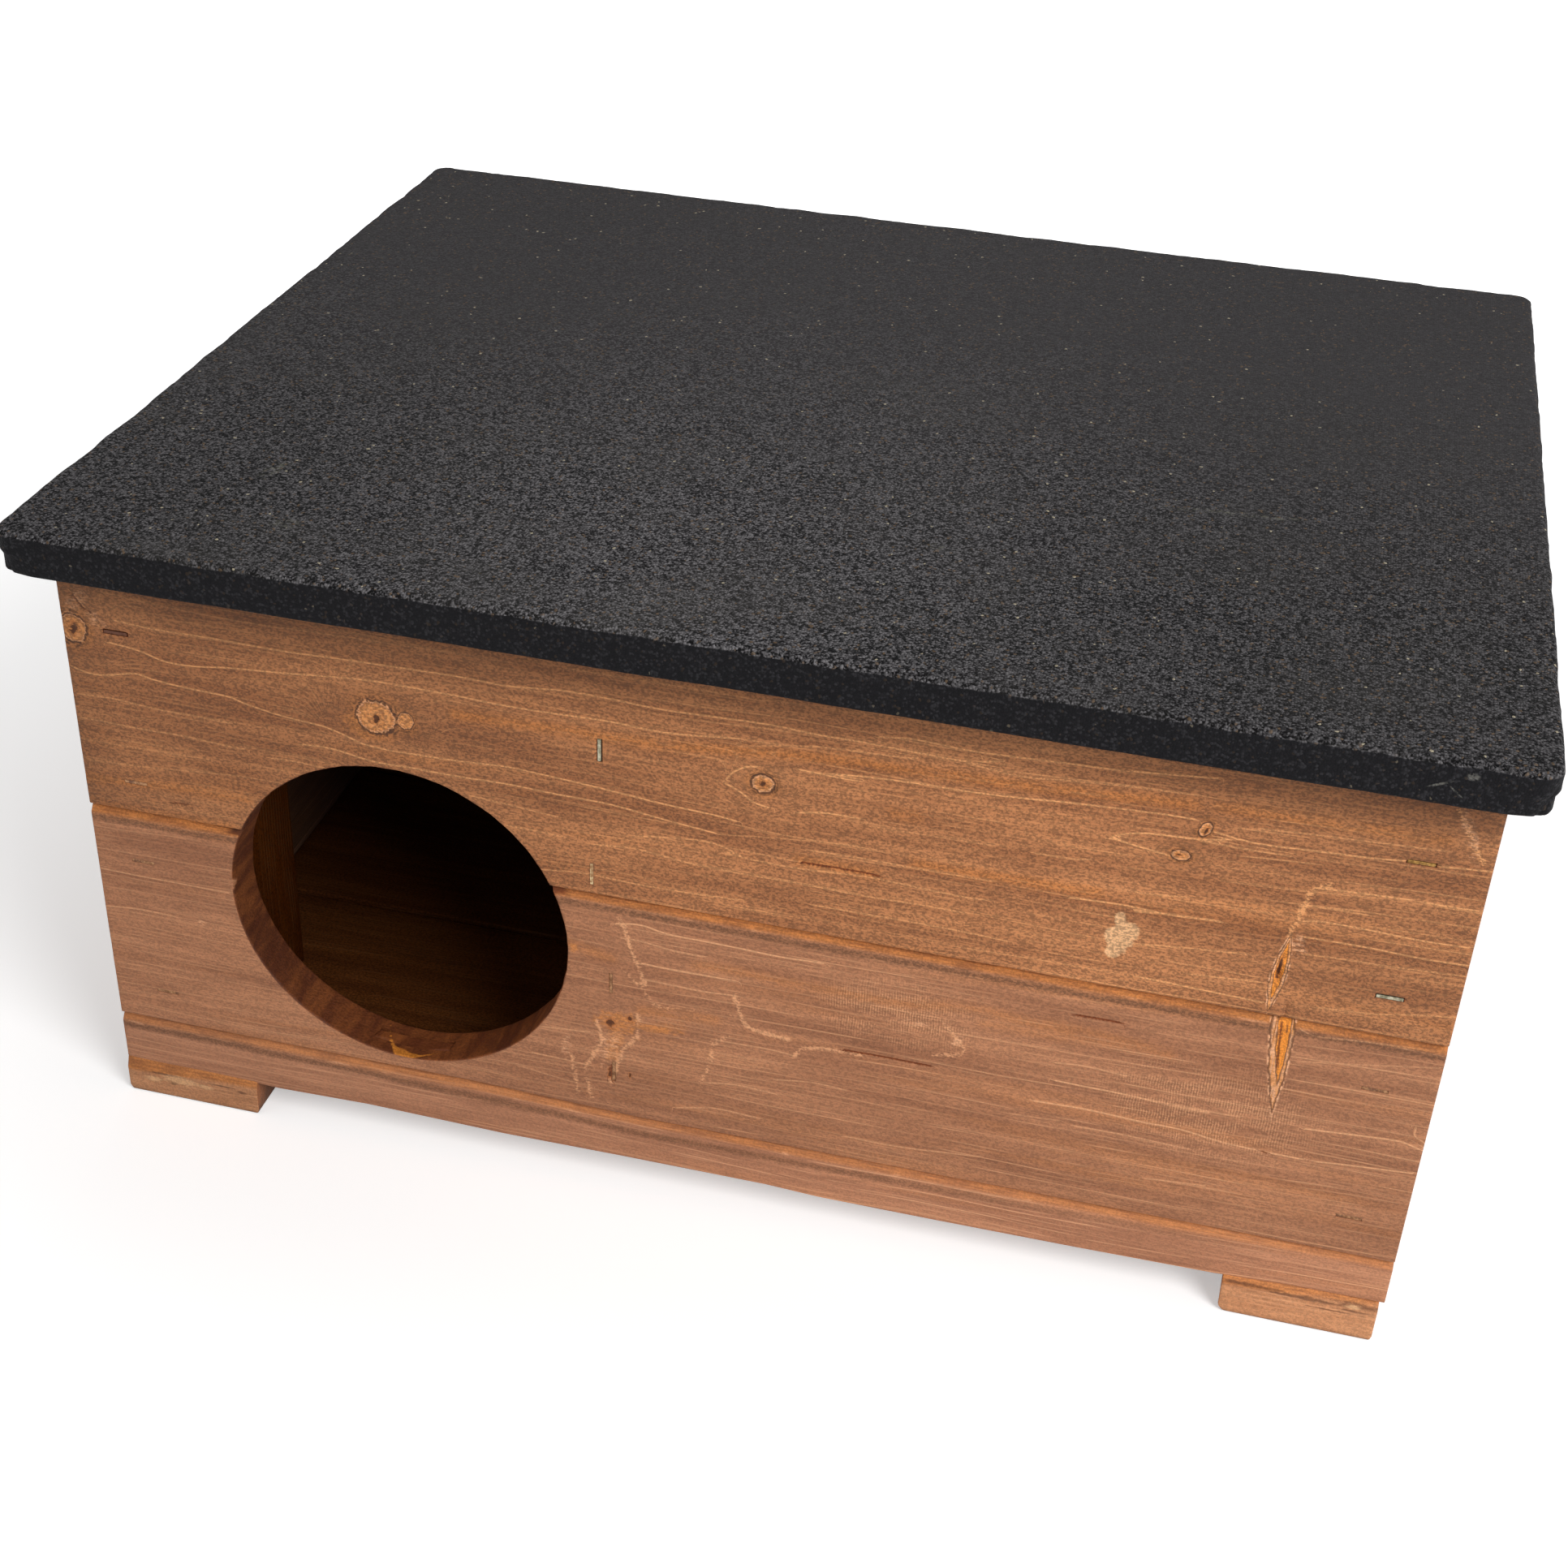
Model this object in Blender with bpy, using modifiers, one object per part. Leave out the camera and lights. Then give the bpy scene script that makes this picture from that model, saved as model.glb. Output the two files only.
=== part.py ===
"""A hedgehog house: a box of tongue-and-groove boards on four feet, with a round way in at the front,
a partition inside, and a felted roof on two hinges along its back edge. Metres, +Z up, front towards -Y.
The origin is on the ground, under the middle of the whole object."""

import math

import bmesh
import bpy
from mathutils import Matrix, Vector

# Clearances, the overrun of every cut, and how near two points count as one or two levels as the same
FIT = 0.0003
FASTENER_CLEARANCE = 0.00015
OVERRUN = 0.002
WELD_DISTANCE = 0.000003
LEVEL_TOLERANCE = 0.00003

# Body
BODY_WIDTH = 0.500
BODY_DEPTH = 0.402

# Tongue-and-groove board
BOARD_THICKNESS = 0.018
BOARD_COVER = 0.100
STRIP_HEIGHT = 0.020
TONGUE_LENGTH = 0.0075
TONGUE_THICKNESS = 0.0055
TONGUE_CHAMFER = 0.0008
V_LEG = 0.0024

# Way in: its sill is the hole's lowest point above the walls' lower edge
HOLE_DIAMETER = 0.1325
HOLE_FROM_LEFT = 0.122
HOLE_SILL = 0.02595

# Corner posts, partition and its batten
POST_SIDE = 0.036
PARTITION_FROM_LEFT = 0.202
PARTITION_HEADROOM = 0.002
PASSAGE_WIDTH = 0.125
BATTEN_WIDTH = 0.036
BATTEN_THICKNESS = 0.018

# Feet
FOOT_WIDTH = 0.0565
FOOT_DEPTH = 0.095
FOOT_PROUD = 0.0015
FOOT_EASING = 0.0015
FOOT_INSET_SHARES = {"left": 0.0, "right": 0.032}

# Roof
ROOF_FRONT_OVERHANG = 0.019
ROOF_SIDE_OVERHANG = 0.012
DECK_THICKNESS = 0.012
DECK_CORNER_RADIUS = 0.0057
DECK_RIM_RADIUS = 0.0012
FELT_THICKNESS = 0.002
FELT_HEM_RADIUS = 0.0009
FELT_RETURN_GAP = 0.001

# Hinges
HINGE_LENGTH = 0.040
HINGE_FROM_END = 0.100
LEAF_WIDTH = 0.0125
LEAF_THICKNESS = 0.001
BARREL_RADIUS = 0.0024
PIN_RADIUS = 0.00115
PIN_HEAD_RADIUS = 0.0019
PIN_HEAD_HEIGHT = 0.0007
SCREW_ROW_SHARE = 0.56
SCREW_SPREAD_SHARE = 0.62

# Hinge screws
SCREW_LENGTH = 0.013
SCREW_RADIUS = 0.0014
SCREW_HEAD_RADIUS = 0.0026
SCREW_HEAD_HEIGHT = 0.0011
SCREW_TIP_LENGTH = 0.003
RECESS_WIDTH = 0.0006
RECESS_DEPTH = 0.0007
RECESS_SPAN_SHARE = 1.1

# Staples: their places are shares of the crown's width inwards from a row's line, or of the partition's
# thickness from its middle, and shares of the board's cover height above the board's lower line
STAPLE_CROWN = 0.0089
STAPLE_WIRE = 0.0012
STAPLE_LEG = 0.030
STAPLE_SINK = 0.0002
STAPLE_FROM_END = 0.0206
END_STAPLE_SHARES = {
    "left": (("top", 0.0, 0.767), ("top", 0.0, 0.131), ("middle", -0.18, 0.77), ("middle", 0.16, 0.152)),
    "right": (("top", 0.17, 0.709), ("top", 0.2, 0.16), ("middle", -0.03, 0.764), ("middle", -0.16, 0.174)),
}
MIDDLE_STAPLE_SHARES = (
    ("top", -0.04, 0.615),
    ("top", -0.22, 0.085),
    ("middle", 0.17, 0.606),
    ("middle", 0.23, 0.189),
)

# Steps of the round shapes
HOLE_STEPS = 96
ROUND_STEPS = 16
BARREL_STEPS = 24
CORNER_STEPS = 5
RIM_STEPS = 3

# Levels and lines that follow from the sizes above
BODY_BOTTOM = BOARD_THICKNESS + FIT
SHOULDER_LINE = STRIP_HEIGHT + 2 * BOARD_COVER
WALL_TOP = BODY_BOTTOM + SHOULDER_LINE - FIT + TONGUE_LENGTH
DECK_BOTTOM = WALL_TOP + FIT
DECK_TOP = DECK_BOTTOM + DECK_THICKNESS
FELT_SKIN = FELT_THICKNESS + FIT
FLOOR_TOP = BODY_BOTTOM + BOARD_THICKNESS
TOTAL_DEPTH = ROOF_FRONT_OVERHANG + BODY_DEPTH + FIT + 2 * BARREL_RADIUS
LEFT = -BODY_WIDTH / 2
RIGHT = BODY_WIDTH / 2
FRONT = ROOF_FRONT_OVERHANG - TOTAL_DEPTH / 2
BACK = FRONT + BODY_DEPTH
WALL = BOARD_THICKNESS + FIT
INNER_WIDTH = BODY_WIDTH - 2 * WALL
INNER_DEPTH = BODY_DEPTH - 2 * WALL
MIDDLE_Y = (FRONT + BACK) / 2
HINGE_PLANE = BACK + FIT
AXIS_Y = HINGE_PLANE + BARREL_RADIUS
AXIS_Z = (WALL_TOP + DECK_BOTTOM) / 2

RIGHTWARDS = Vector((1, 0, 0))
BACKWARDS = Vector((0, 1, 0))
UPWARDS = Vector((0, 0, 1))

for old in list(bpy.data.objects):
    bpy.data.objects.remove(old)

house = bpy.data.collections.new("hedgehog_house")
cutters = bpy.data.collections.new("cutters")
bpy.context.scene.collection.children.link(house)
bpy.context.scene.collection.children.link(cutters)


def finish(name, colour, roughness, metallic=0.0):
    """A plain Principled material."""
    made = bpy.data.materials.new(name)
    made.use_nodes = True
    shader = made.node_tree.nodes["Principled BSDF"]
    shader.inputs["Base Color"].default_value = (*colour, 1)
    shader.inputs["Roughness"].default_value = roughness
    shader.inputs["Metallic"].default_value = metallic
    return made


STAINED_WOOD = finish("stained_wood", (0.36, 0.17, 0.09), 0.7)
POST_WOOD = finish("post_wood", (0.45, 0.22, 0.06), 0.7)
PLYWOOD = finish("plywood", (0.58, 0.40, 0.24), 0.75)
FELT = finish("felt", (0.045, 0.043, 0.046), 0.95)
ZINC = finish("zinc", (0.60, 0.60, 0.58), 0.35, 0.9)
STAPLE_STEEL = finish("staple_steel", (0.50, 0.42, 0.28), 0.45, 0.9)


# Shapes

def frame(origin, x_axis, y_axis):
    """The matrix that puts a shape's own X and Y along two directions, with its origin at a point."""
    z_axis = x_axis.cross(y_axis)
    turned = Matrix((x_axis, y_axis, z_axis)).transposed().to_4x4()
    return Matrix.Translation(origin) @ turned


def add(name, mesh, material, matrix):
    """A named piece of the house."""
    piece = bpy.data.objects.new(name, mesh)
    if not mesh.materials:
        mesh.materials.append(material)
    piece.matrix_world = matrix
    house.objects.link(piece)
    return piece


def add_cutter(name, mesh, matrix):
    """A shape that only cuts."""
    cutter = bpy.data.objects.new(name, mesh)
    cutter.matrix_world = matrix
    cutter.hide_render = True
    cutter.display_type = "WIRE"
    cutters.objects.link(cutter)
    return cutter


def cut(piece, cutter):
    """Takes a cutter's shape out of a piece."""
    modifier = piece.modifiers.new(cutter.name, "BOOLEAN")
    modifier.operation = "DIFFERENCE"
    modifier.solver = "EXACT"
    modifier.object = cutter


def frozen(piece):
    """The piece's mesh with its modifiers applied."""
    bpy.context.view_layer.update()
    graph = bpy.context.evaluated_depsgraph_get()
    return bpy.data.meshes.new_from_object(piece.evaluated_get(graph))


def outline_mesh(name, points, length):
    """A closed outline in X and Y made solid with flat faces, half its length to each side along Z."""
    curve = bpy.data.curves.new(name, "CURVE")
    curve.dimensions = "2D"
    curve.fill_mode = "BOTH"
    curve.extrude = length / 2
    spline = curve.splines.new("POLY")
    spline.points.add(len(points) - 1)
    for point, (x, y) in zip(spline.points, points):
        point.co = (x, y, 0, 1)
    spline.use_cyclic_u = True
    guide = bpy.data.objects.new(name, curve)
    bpy.context.scene.collection.objects.link(guide)
    mesh = frozen(guide)
    mesh.name = name
    bpy.data.objects.remove(guide)
    shape = bmesh.new()
    shape.from_mesh(mesh)
    bmesh.ops.remove_doubles(shape, verts=shape.verts, dist=WELD_DISTANCE)
    bmesh.ops.recalc_face_normals(shape, faces=shape.faces)
    shape.to_mesh(mesh)
    shape.free()
    mesh.shade_flat()
    return mesh


def block_mesh(name, size, corner=0.0, rim=0.0, hem=0.0):
    """A box about its own centre. corner rounds its upright edges, rim its upper and hem its lower ones."""
    shape = bmesh.new()
    bmesh.ops.create_cube(shape, size=1)
    bmesh.ops.scale(shape, vec=size, verts=shape.verts)
    if corner:
        upright = [edge for edge in shape.edges if edge.verts[0].co.xy == edge.verts[1].co.xy]
        bmesh.ops.bevel(
            shape, geom=upright, offset=corner, segments=CORNER_STEPS, profile=0.5, affect="EDGES"
        )
    for radius, side in ((rim, 1), (hem, -1)):
        if not radius:
            continue
        level = side * size[2] / 2
        border = [
            edge
            for edge in shape.edges
            if all(abs(vert.co.z - level) < LEVEL_TOLERANCE for vert in edge.verts)
        ]
        bmesh.ops.bevel(
            shape, geom=border, offset=radius, segments=RIM_STEPS, profile=0.5, affect="EDGES"
        )
    mesh = bpy.data.meshes.new(name)
    shape.to_mesh(mesh)
    shape.free()
    if corner or rim or hem:
        mesh.shade_smooth()
        mesh.set_sharp_from_angle(angle=math.radians(40))
    return mesh


def cylinder_mesh(name, radius, length, steps):
    """A cylinder about its own Z axis."""
    shape = bmesh.new()
    bmesh.ops.create_cone(
        shape, cap_ends=True, segments=steps, radius1=radius, radius2=radius, depth=length
    )
    mesh = bpy.data.meshes.new(name)
    shape.to_mesh(mesh)
    shape.free()
    mesh.shade_smooth()
    mesh.set_sharp_from_angle(angle=math.radians(40))
    return mesh


def turned_mesh(name, profile, steps):
    """A profile of radius and height, from top to bottom, turned about Z."""
    mesh = bpy.data.meshes.new(name)
    edges = [(i, i + 1) for i in range(len(profile) - 1)]
    mesh.from_pydata([(radius, 0, height) for radius, height in profile], edges, [])
    guide = bpy.data.objects.new(name, mesh)
    bpy.context.scene.collection.objects.link(guide)
    screw = guide.modifiers.new("turn", "SCREW")
    screw.steps = steps
    screw.render_steps = steps
    screw.use_merge_vertices = True
    screw.merge_threshold = WELD_DISTANCE
    solid = frozen(guide)
    solid.name = name
    solid.set_sharp_from_angle(angle=math.radians(40))
    bpy.data.objects.remove(guide)
    return solid


# Boards

def board_outline(height, lower, upper):
    """A board's cross-section: X is the depth behind its face and Y its height. An edge is flat, a groove,
    a tongue, or planed, which is a tongue edge without its tongue."""
    thickness = BOARD_THICKNESS
    middle = thickness / 2
    half_tongue = TONGUE_THICKNESS / 2
    half_groove = half_tongue + FIT
    groove_depth = TONGUE_LENGTH + FIT
    points = [(0, V_LEG), (V_LEG, 0)] if lower == "groove" else [(0, 0)]
    if lower == "groove":
        points += [
            (middle - half_groove, 0),
            (middle - half_groove, groove_depth),
            (middle + half_groove, groove_depth),
            (middle + half_groove, 0),
        ]
    points += [(thickness, 0), (thickness, height)]
    if upper == "tongue":
        tip = height + TONGUE_LENGTH
        points += [
            (middle + half_tongue, height),
            (middle + half_tongue, tip - TONGUE_CHAMFER),
            (middle + half_tongue - TONGUE_CHAMFER, tip),
            (middle - half_tongue + TONGUE_CHAMFER, tip),
            (middle - half_tongue, tip - TONGUE_CHAMFER),
            (middle - half_tongue, height),
        ]
    points += [(0, height)] if upper == "flat" else [(V_LEG, height), (0, height - V_LEG)]
    return points


def add_boards(names, lines, upper, origin, depth_axis, height_axis, length, material=STAINED_WOOD):
    """Boards edge to edge between lines, which are heights above the origin. The lowest has a flat lower
    edge, the others interlock, and upper says how the last one ends."""
    boards = {}
    for index, name in enumerate(names):
        low, high = lines[index], lines[index + 1]
        last = index == len(names) - 1
        edge_above = upper if last else "tongue"
        height = high - low if edge_above == "flat" else high - low - FIT
        outline = board_outline(height, "groove" if index else "flat", edge_above)
        place = frame(origin + low * height_axis, depth_axis, height_axis)
        boards[name] = add(name, outline_mesh(name, outline, length), material, place)
    return boards


ROWS = ("bottom_strip", "middle_board", "top_board")
WALL_LINES = (0, STRIP_HEIGHT, STRIP_HEIGHT + BOARD_COVER, SHOULDER_LINE)
BACK_TOP_LINE = DECK_BOTTOM - BODY_BOTTOM
BACK_LINES = (0, BACK_TOP_LINE - 2 * BOARD_COVER, BACK_TOP_LINE - BOARD_COVER, BACK_TOP_LINE)


def wall_names(side):
    return [f"{side}_{row}" for row in ROWS]


walls = {}
walls.update(
    add_boards(
        wall_names("front"),
        WALL_LINES,
        "tongue",
        Vector((0, FRONT, BODY_BOTTOM)),
        BACKWARDS,
        UPWARDS,
        BODY_WIDTH,
    )
)
walls.update(
    add_boards(
        wall_names("back"),
        BACK_LINES,
        "planed",
        Vector((0, BACK, BODY_BOTTOM)),
        -BACKWARDS,
        UPWARDS,
        BODY_WIDTH,
    )
)
for side, x, inwards in (("left", LEFT, RIGHTWARDS), ("right", RIGHT, -RIGHTWARDS)):
    walls.update(
        add_boards(
            wall_names(side),
            WALL_LINES,
            "tongue",
            Vector((x, MIDDLE_Y, BODY_BOTTOM)),
            inwards,
            UPWARDS,
            INNER_DEPTH,
        )
    )


def side_boards(side):
    """The three boards of one wall, because a fastener near a joint also meets the next board's tongue."""
    return [walls[name] for name in wall_names(side)]


HOLE_CENTRE = Vector(
    (
        LEFT + HOLE_FROM_LEFT,
        FRONT + BOARD_THICKNESS / 2,
        BODY_BOTTOM + HOLE_SILL + HOLE_DIAMETER / 2,
    )
)
hole = add_cutter(
    "way_in",
    cylinder_mesh("way_in", HOLE_DIAMETER / 2, BOARD_THICKNESS + 2 * OVERRUN, HOLE_STEPS),
    frame(HOLE_CENTRE, RIGHTWARDS, -UPWARDS),
)
for board in side_boards("front"):
    cut(board, hole)


# Floor

FLOOR_LEAST_SHARE = 0.25
floor_lines = [MIDDLE_Y - INNER_DEPTH / 2, MIDDLE_Y, MIDDLE_Y + INNER_DEPTH / 2]
reach = BOARD_COVER
while reach < INNER_DEPTH / 2 - FLOOR_LEAST_SHARE * BOARD_COVER:
    floor_lines += [MIDDLE_Y - reach, MIDDLE_Y + reach]
    reach += BOARD_COVER
floor_lines.sort()
add_boards(
    [f"floor_board_{number + 1}" for number in range(len(floor_lines) - 1)],
    floor_lines,
    "flat",
    Vector((0, 0, FLOOR_TOP)),
    -UPWARDS,
    BACKWARDS,
    INNER_WIDTH,
)


# Corner posts

POST_TOP = BODY_BOTTOM + SHOULDER_LINE - FIT
POST_HEIGHT = POST_TOP - FLOOR_TOP - FIT
SIDES = {"left": -1, "right": 1}
ENDS = {"front": -1, "back": 1}
posts = {}
for end, forward in ENDS.items():
    for side, across in SIDES.items():
        name = f"corner_post_{end}_{side}"
        centre = Vector(
            (
                across * (INNER_WIDTH - POST_SIDE) / 2,
                MIDDLE_Y + forward * (INNER_DEPTH - POST_SIDE) / 2,
                POST_TOP - POST_HEIGHT / 2,
            )
        )
        mesh = block_mesh(name, (POST_SIDE, POST_SIDE, POST_HEIGHT))
        posts[end, side] = add(name, mesh, POST_WOOD, Matrix.Translation(centre))


# Partition

PARTITION_X = LEFT + PARTITION_FROM_LEFT
PARTITION_LENGTH = INNER_DEPTH - PASSAGE_WIDTH
PARTITION_FRONT = MIDDLE_Y - INNER_DEPTH / 2
PARTITION_TOP_LINE = BODY_BOTTOM + SHOULDER_LINE - PARTITION_HEADROOM
partition = add_boards(
    ["partition_lower_board", "partition_upper_board"],
    (FLOOR_TOP + FIT, PARTITION_TOP_LINE - BOARD_COVER, PARTITION_TOP_LINE),
    "tongue",
    Vector((PARTITION_X - BOARD_THICKNESS / 2, PARTITION_FRONT + PARTITION_LENGTH / 2, 0)),
    RIGHTWARDS,
    UPWARDS,
    PARTITION_LENGTH,
)
BATTEN_HEIGHT = PARTITION_TOP_LINE - FLOOR_TOP - FIT
add(
    "partition_batten",
    block_mesh("partition_batten", (BATTEN_THICKNESS, BATTEN_WIDTH, BATTEN_HEIGHT)),
    POST_WOOD,
    Matrix.Translation(
        (
            PARTITION_X + BOARD_THICKNESS / 2 + FIT + BATTEN_THICKNESS / 2,
            PARTITION_FRONT + PARTITION_LENGTH - BATTEN_WIDTH / 2,
            PARTITION_TOP_LINE - BATTEN_HEIGHT / 2,
        )
    ),
)


# Feet

for end, forward in ENDS.items():
    for side, across in SIDES.items():
        name = f"foot_{end}_{side}"
        inset = FOOT_WIDTH / 2 + FOOT_INSET_SHARES[side] * FOOT_WIDTH
        heel = FOOT_PROUD - FOOT_DEPTH
        foot = add(
            name,
            outline_mesh(name, board_outline(FOOT_DEPTH, "flat", "planed"), FOOT_WIDTH),
            STAINED_WOOD,
            frame(
                Vector(
                    (
                        across * (BODY_WIDTH / 2 - inset),
                        MIDDLE_Y + forward * (BODY_DEPTH / 2 + heel),
                        BOARD_THICKNESS,
                    )
                ),
                -UPWARDS,
                forward * BACKWARDS,
            ),
        )
        easing = foot.modifiers.new("easing", "BEVEL")
        easing.width = FOOT_EASING
        easing.segments = 2
        easing.limit_method = "ANGLE"
        easing.angle_limit = math.radians(60)


# Staples of the front wall

def staple_outline(grow):
    """A staple seen from its side: X along the crown, Y along the legs. grow widens it, for its slot."""
    outer = STAPLE_CROWN / 2 + grow
    inner = STAPLE_CROWN / 2 - STAPLE_WIRE - grow
    top = -OVERRUN if grow else 0
    under = STAPLE_WIRE + grow
    tip = STAPLE_LEG + grow
    point = tip - STAPLE_WIRE
    return [
        (-outer, top),
        (outer, top),
        (outer, tip),
        (inner, point),
        (inner, under),
        (-inner, under),
        (-inner, point),
        (-outer, tip),
    ]


staple_mesh = outline_mesh("staple", staple_outline(0), STAPLE_WIRE)
slot_mesh = outline_mesh(
    "staple_slot", staple_outline(FASTENER_CLEARANCE), STAPLE_WIRE + 2 * FASTENER_CLEARANCE
)
ROW_LINES = dict(zip(ROWS, WALL_LINES))


def add_staple(name, x, row, height_share, crown_axis, held):
    """A staple driven through a front board, and its slots in what it holds."""
    height = ROW_LINES[f"{row}_board"] + height_share * BOARD_COVER
    origin = Vector((x, FRONT + STAPLE_SINK, BODY_BOTTOM + height))
    place = frame(origin, crown_axis, BACKWARDS)
    add(name, staple_mesh, STAPLE_STEEL, place)
    slot = add_cutter(f"{name}_slot", slot_mesh, place)
    for piece in (*side_boards("front"), *held):
        cut(piece, slot)


for side, across in SIDES.items():
    for number, (row, in_share, height_share) in enumerate(END_STAPLE_SHARES[side]):
        from_end = STAPLE_FROM_END + in_share * STAPLE_CROWN
        add_staple(
            f"front_staple_{side}_{number + 1}",
            across * (BODY_WIDTH / 2 - from_end),
            row,
            height_share,
            RIGHTWARDS,
            (*side_boards(side), posts["front", side]),
        )
for number, (row, off_share, height_share) in enumerate(MIDDLE_STAPLE_SHARES):
    add_staple(
        f"front_staple_middle_{number + 1}",
        PARTITION_X + off_share * BOARD_THICKNESS,
        row,
        height_share,
        UPWARDS,
        partition.values(),
    )


# Roof

hinge_axis = bpy.data.objects.new("roof_hinge_axis", None)
hinge_axis.location = (0, AXIS_Y, AXIS_Z)
house.objects.link(hinge_axis)


def on_roof(piece):
    """Lets a piece turn with the roof about the hinge axis, where it is."""
    piece.parent = hinge_axis
    piece.matrix_parent_inverse = Matrix.Translation(-hinge_axis.location)
    return piece


ROOF_WIDTH = BODY_WIDTH + 2 * ROOF_SIDE_OVERHANG
ROOF_DEPTH = BODY_DEPTH + ROOF_FRONT_OVERHANG
ROOF_CENTRE = Vector((0, BACK - ROOF_DEPTH / 2, (DECK_BOTTOM + DECK_TOP) / 2))
DECK_WIDTH = ROOF_WIDTH - 2 * FELT_SKIN
DECK_DEPTH = ROOF_DEPTH - 2 * FELT_SKIN
deck = on_roof(
    add(
        "roof_deck",
        block_mesh(
            "roof_deck",
            (DECK_WIDTH, DECK_DEPTH, DECK_THICKNESS),
            DECK_CORNER_RADIUS,
            DECK_RIM_RADIUS,
        ),
        PLYWOOD,
        Matrix.Translation(ROOF_CENTRE),
    )
)
felt = on_roof(
    add(
        "roofing_felt",
        block_mesh(
            "roofing_felt",
            (ROOF_WIDTH, ROOF_DEPTH, DECK_THICKNESS + 2 * FELT_SKIN),
            DECK_CORNER_RADIUS + FELT_SKIN,
            DECK_RIM_RADIUS + FELT_SKIN,
            FELT_HEM_RADIUS,
        ),
        FELT,
        Matrix.Translation(ROOF_CENTRE),
    )
)
cut(
    felt,
    add_cutter(
        "felt_cavity",
        block_mesh(
            "felt_cavity",
            (DECK_WIDTH + 2 * FIT, DECK_DEPTH + 2 * FIT, DECK_THICKNESS + 2 * FIT),
            DECK_CORNER_RADIUS + FIT,
            DECK_RIM_RADIUS + FIT,
        ),
        Matrix.Translation(ROOF_CENTRE),
    ),
)
MOUTH_WIDTH = BODY_WIDTH + 2 * FELT_RETURN_GAP
MOUTH_DEPTH = BODY_DEPTH + FELT_RETURN_GAP + OVERRUN
MOUTH_HEIGHT = FELT_SKIN + OVERRUN
cut(
    felt,
    add_cutter(
        "felt_mouth",
        block_mesh("felt_mouth", (MOUTH_WIDTH, MOUTH_DEPTH, MOUTH_HEIGHT)),
        Matrix.Translation(
            (0, BACK + OVERRUN - MOUTH_DEPTH / 2, DECK_BOTTOM - MOUTH_HEIGHT / 2)
        ),
    ),
)


# Hinges

KNUCKLE_LENGTH = HINGE_LENGTH / 3


def leaf_outline():
    """A leaf rolled round its pin, seen along the pin: X away from the wood, Y from axis to edge."""
    points = [(0, LEAF_WIDTH), (0, 0)]
    root = math.acos((BARREL_RADIUS - LEAF_THICKNESS) / BARREL_RADIUS)
    turn = 2 * math.pi - root
    for step in range(1, BARREL_STEPS + 1):
        angle = turn * step / BARREL_STEPS
        points.append(
            (
                BARREL_RADIUS - BARREL_RADIUS * math.cos(angle),
                -BARREL_RADIUS * math.sin(angle),
            )
        )
    return points + [(LEAF_THICKNESS, LEAF_WIDTH)]


def add_leaf(name, hinge_x, height_axis, notches):
    """A hinge leaf with its notches for the other leaf's knuckles."""
    axis_point = Vector((hinge_x, HINGE_PLANE, AXIS_Z))
    place = frame(axis_point, BACKWARDS, height_axis)
    leaf = add(name, outline_mesh(name, leaf_outline(), HINGE_LENGTH), ZINC, place)
    bore = cylinder_mesh(
        f"{name}_bore", PIN_RADIUS + FIT, HINGE_LENGTH + 2 * OVERRUN, BARREL_STEPS
    )
    cut(leaf, add_cutter(f"{name}_bore", bore, place @ Matrix.Translation((BARREL_RADIUS, 0, 0))))
    for number, (centre, length) in enumerate(notches):
        side = 2 * (BARREL_RADIUS + FIT)
        notch = block_mesh(f"{name}_notch_{number}", (side + 2 * OVERRUN, side, length))
        cut(
            leaf,
            add_cutter(
                f"{name}_notch_{number}",
                notch,
                place @ Matrix.Translation((BARREL_RADIUS, 0, centre)),
            ),
        )
    return leaf


def screw_profile():
    """A screw with its head's underside at height 0, its head above and its tip below."""
    dome = [
        (
            SCREW_HEAD_RADIUS * math.sin(math.radians(angle)),
            SCREW_HEAD_HEIGHT * math.cos(math.radians(angle)),
        )
        for angle in (0, 30, 55, 75, 90)
    ]
    shank_end = SCREW_TIP_LENGTH - SCREW_LENGTH
    return dome + [
        (SCREW_RADIUS, 0),
        (SCREW_RADIUS, shank_end),
        (0, -SCREW_LENGTH),
    ]


def screw_mesh():
    """The screw with a cross recess in its head."""
    screw = add("screw", turned_mesh("screw", screw_profile(), ROUND_STEPS), ZINC, Matrix())
    span = RECESS_SPAN_SHARE * SCREW_HEAD_RADIUS
    height = RECESS_DEPTH + OVERRUN
    for name, size in (
        ("recess_across", (span, RECESS_WIDTH, height)),
        ("recess_along", (RECESS_WIDTH, span, height)),
    ):
        middle = SCREW_HEAD_HEIGHT - RECESS_DEPTH + height / 2
        cut(screw, add_cutter(name, block_mesh(name, size), Matrix.Translation((0, 0, middle))))
    mesh = frozen(screw)
    bpy.data.objects.remove(screw)
    return mesh


HINGE_SCREW_MESH = screw_mesh()
PILOT_MESH = cylinder_mesh(
    "pilot",
    SCREW_RADIUS + FASTENER_CLEARANCE,
    2 * (SCREW_LENGTH + FASTENER_CLEARANCE),
    ROUND_STEPS,
)
SCREW_ROW = SCREW_ROW_SHARE * LEAF_WIDTH
SCREW_SPREAD = SCREW_SPREAD_SHARE * HINGE_LENGTH


def add_screws(name, hinge_x, direction, holding):
    """Two screws through a leaf and into what it holds. The list of their objects comes back."""
    made = []
    for number, across in enumerate((-1, 1)):
        head = Vector(
            (
                hinge_x + across * SCREW_SPREAD / 2,
                HINGE_PLANE + LEAF_THICKNESS + FIT,
                AXIS_Z + direction * SCREW_ROW,
            )
        )
        place = frame(head, -RIGHTWARDS, UPWARDS)
        made.append(add(f"{name}_{number + 1}", HINGE_SCREW_MESH, ZINC, place))
        pilot = add_cutter(f"{name}_{number + 1}_pilot", PILOT_MESH, place)
        for piece in holding:
            cut(piece, pilot)
    return made


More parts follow.
